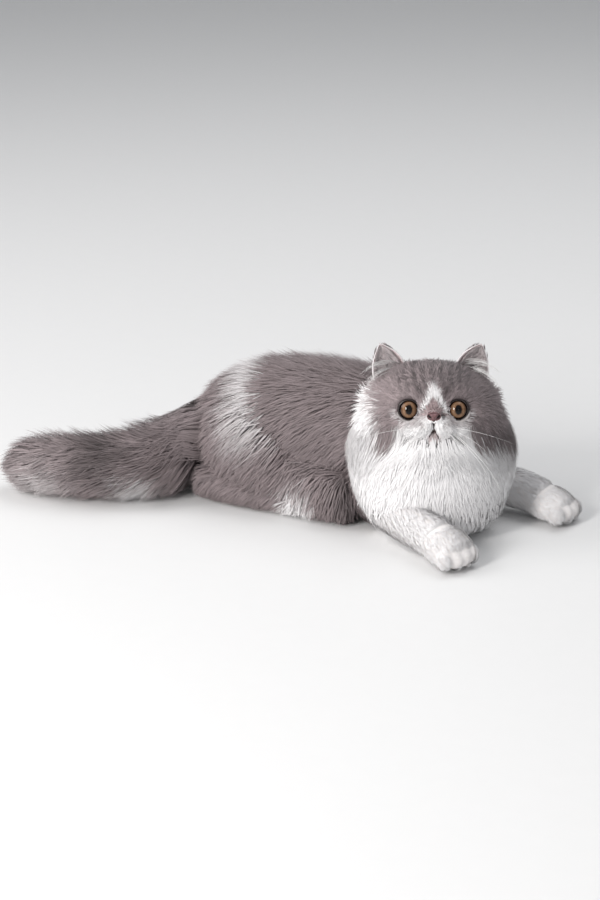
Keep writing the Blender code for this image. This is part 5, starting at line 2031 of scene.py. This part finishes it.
@dataclass
class Studio:
    """Pale floor, soft lights and the camera at the photograph's angle."""

    azimuth: float = math.radians(25.0)
    elevation: float = math.radians(20.0)
    distance: float = 2.0
    focal: float = 2162.0  # pixels, on a frame 600 wide and 900 high
    aim: tuple[float, float] = (320.0, 493.0)
    frame_size: tuple[int, int] = (600, 900)
    lit: Triple = (0.0, 0.0, 0.06)  # the place that every light looks at, in metres
    floor_reach: float = 9000.0  # half the floor's width, in mm
    floor_flat: float = 3000.0  # how far out the floor stays level
    floor_rise: float = 4000.0
    floor_lines: int = 60

    def floor(self) -> None:
        """A wide pale floor, as a bowl: far out, z rises as the cube of the distance."""
        many, reach = self.floor_lines, self.floor_reach
        side = np.linspace(-reach, reach, many)
        gx, gy = np.meshgrid(side, side)
        out = (np.hypot(gx, gy) - self.floor_flat) / (reach - self.floor_flat)
        gz = self.floor_rise * np.clip(out, 0.0, 1.3) ** 3 - 0.2
        points = np.stack([gx, gy, gz], 2).reshape(-1, 3)
        floor = put_triangles("studio_floor", points, wall_corners(many, many, False, False))
        nodes = Nodes("pale_floor")
        grain = nodes.noise(60.0, 3.0, 0.6)
        colour = nodes.tint((0.80, 0.80, 0.80), grain * 0.02 + 0.99)
        floor.data.materials.append(nodes.finish(Base_Color=colour, Roughness=0.6))

    def light(self, name: str, place: Triple, size: Sequence[float], power: float, colour: Any) -> None:
        """A soft light, so wide and so high, that looks at the cat."""
        lamp = bpy.data.lights.new(name, "AREA")
        lamp.shape, lamp.energy, lamp.color = "RECTANGLE", power, colour
        lamp.size, lamp.size_y = size
        back = unit(np.array(place) - np.array(self.lit))
        side = unit(np.cross([0.0, 0.0, 1.0], back))
        set_place(new_object(name, lamp), [side, np.cross(back, side), back], place)

    def camera(self) -> None:
        """The camera: right, up and back from azimuth and elevation, aimed by the photo's frame."""
        sine, cosine = math.sin(self.azimuth), math.cos(self.azimuth)
        right = np.array([cosine, sine, 0.0])
        flat = math.cos(self.elevation)
        back = np.array([sine * flat, -cosine * flat, math.sin(self.elevation)])
        above = np.cross(back, right)
        wide, high = self.frame_size
        scale = self.distance / self.focal
        place = back * self.distance - right * ((self.aim[0] - wide / 2) * scale)
        place = place + above * ((self.aim[1] - high / 2) * scale)
        data = bpy.data.cameras.new("camera")
        data.sensor_width = 36.0
        data.lens = self.focal * data.sensor_width / high
        data.clip_start, data.clip_end = 0.05, 50.0
        made = new_object("camera", data)
        set_place(made, [right, above, back], place)
        bpy.context.scene.camera = made

    def build(self) -> None:
        """Sets up the whole studio."""
        self.floor()
        self.light("key", (-0.4, -1.95, 1.0), (0.45, 0.9), 34.0, (1.0, 0.98, 0.96))
        self.light("side", (-1.9, -1.0, 1.6), (1.6, 1.6), 28.0, (1.0, 0.98, 0.97))
        self.light("top", (0.3, 0.9, 2.2), (1.8, 1.8), 20.0, (1.0, 1.0, 1.0))
        world = bpy.data.worlds.new("studio")
        world.use_nodes = True
        sky = world.node_tree.nodes["Background"]
        sky.inputs["Color"].default_value = (0.95, 0.97, 1.0, 1.0)
        sky.inputs["Strength"].default_value = 0.40
        bpy.context.scene.world = world
        bpy.context.scene.view_settings.view_transform = "Standard"
        self.camera()


PAIRS = ("thigh", "hindfoot", "foreleg", "upperarm", "forepaw")
FLESH = ["head", "neck", "torso", "tail_root", "tail_middle", "tail_tip"]
FLESH += [f"{part}_{side}" for part in PAIRS for side in ("left", "right")]


def main() -> None:
    """Builds the skin, the face, the ears, the coat and the studio."""
    logging.basicConfig(level=logging.INFO, format="%(message)s")
    dress(Skin().build(), SkinFinish().build(), Slot.GREY, FLESH)
    wet, lid = EyeFinish().build(), PlainFinish("lid_rim", (0.03, 0.02, 0.019), (0.012, 0.008, 0.008), 0.3)
    lid_finish = lid.build()
    for side, name in ((1, "left"), (-1, "right")):
        eye = Eye(side)
        dress(eye.ball(), wet, Slot.EYE, [f"eye_{name}"])
        dress(eye.lids(), lid_finish, Slot.EYE)
    leather = PlainFinish("nose_leather", (0.30, 0.15, 0.16), (0.03, 0.015, 0.016), 0.42)
    dress(Nose().build(), leather.build(), Slot.EAR)
    lips = PlainFinish("lips", (0.12, 0.06, 0.06), (0.05, 0.025, 0.025), 0.45)
    dress(Lips().build(), lips.build(), Slot.EAR)
    ear_finish = EarFinish().build()
    ears = [Ear(1), Ear(-1)]
    for ear, name in zip(ears, ("left", "right")):
        dress(ear.build(), ear_finish, Slot.EAR, [f"ear_{name}"])
    hair = PlainFinish("whisker", (0.9, 0.89, 0.88), (0.8, 0.79, 0.78), 0.35)
    dress(Whiskers().build(), hair.build(), Slot.WHITE)
    fur = CoatFinish("long_coat").build()
    short = CoatFinish("short_coat").build()
    made = Wardrobe()
    coats = [(made.face_fur(), short), (made.head_fur(), fur), (made.ruff_fur(), fur)]
    coats.append((made.ear_fur(ears), short))
    body = (made.bib, made.back, made.sides, made.hindquarters, made.tail, made.forelegs)
    coats += [(make(), fur) for make in body]
    for coat, material in coats:
        dress(coat.build(), material, coat.slot)
    Studio().build()


if __name__ == "__main__":
    main()
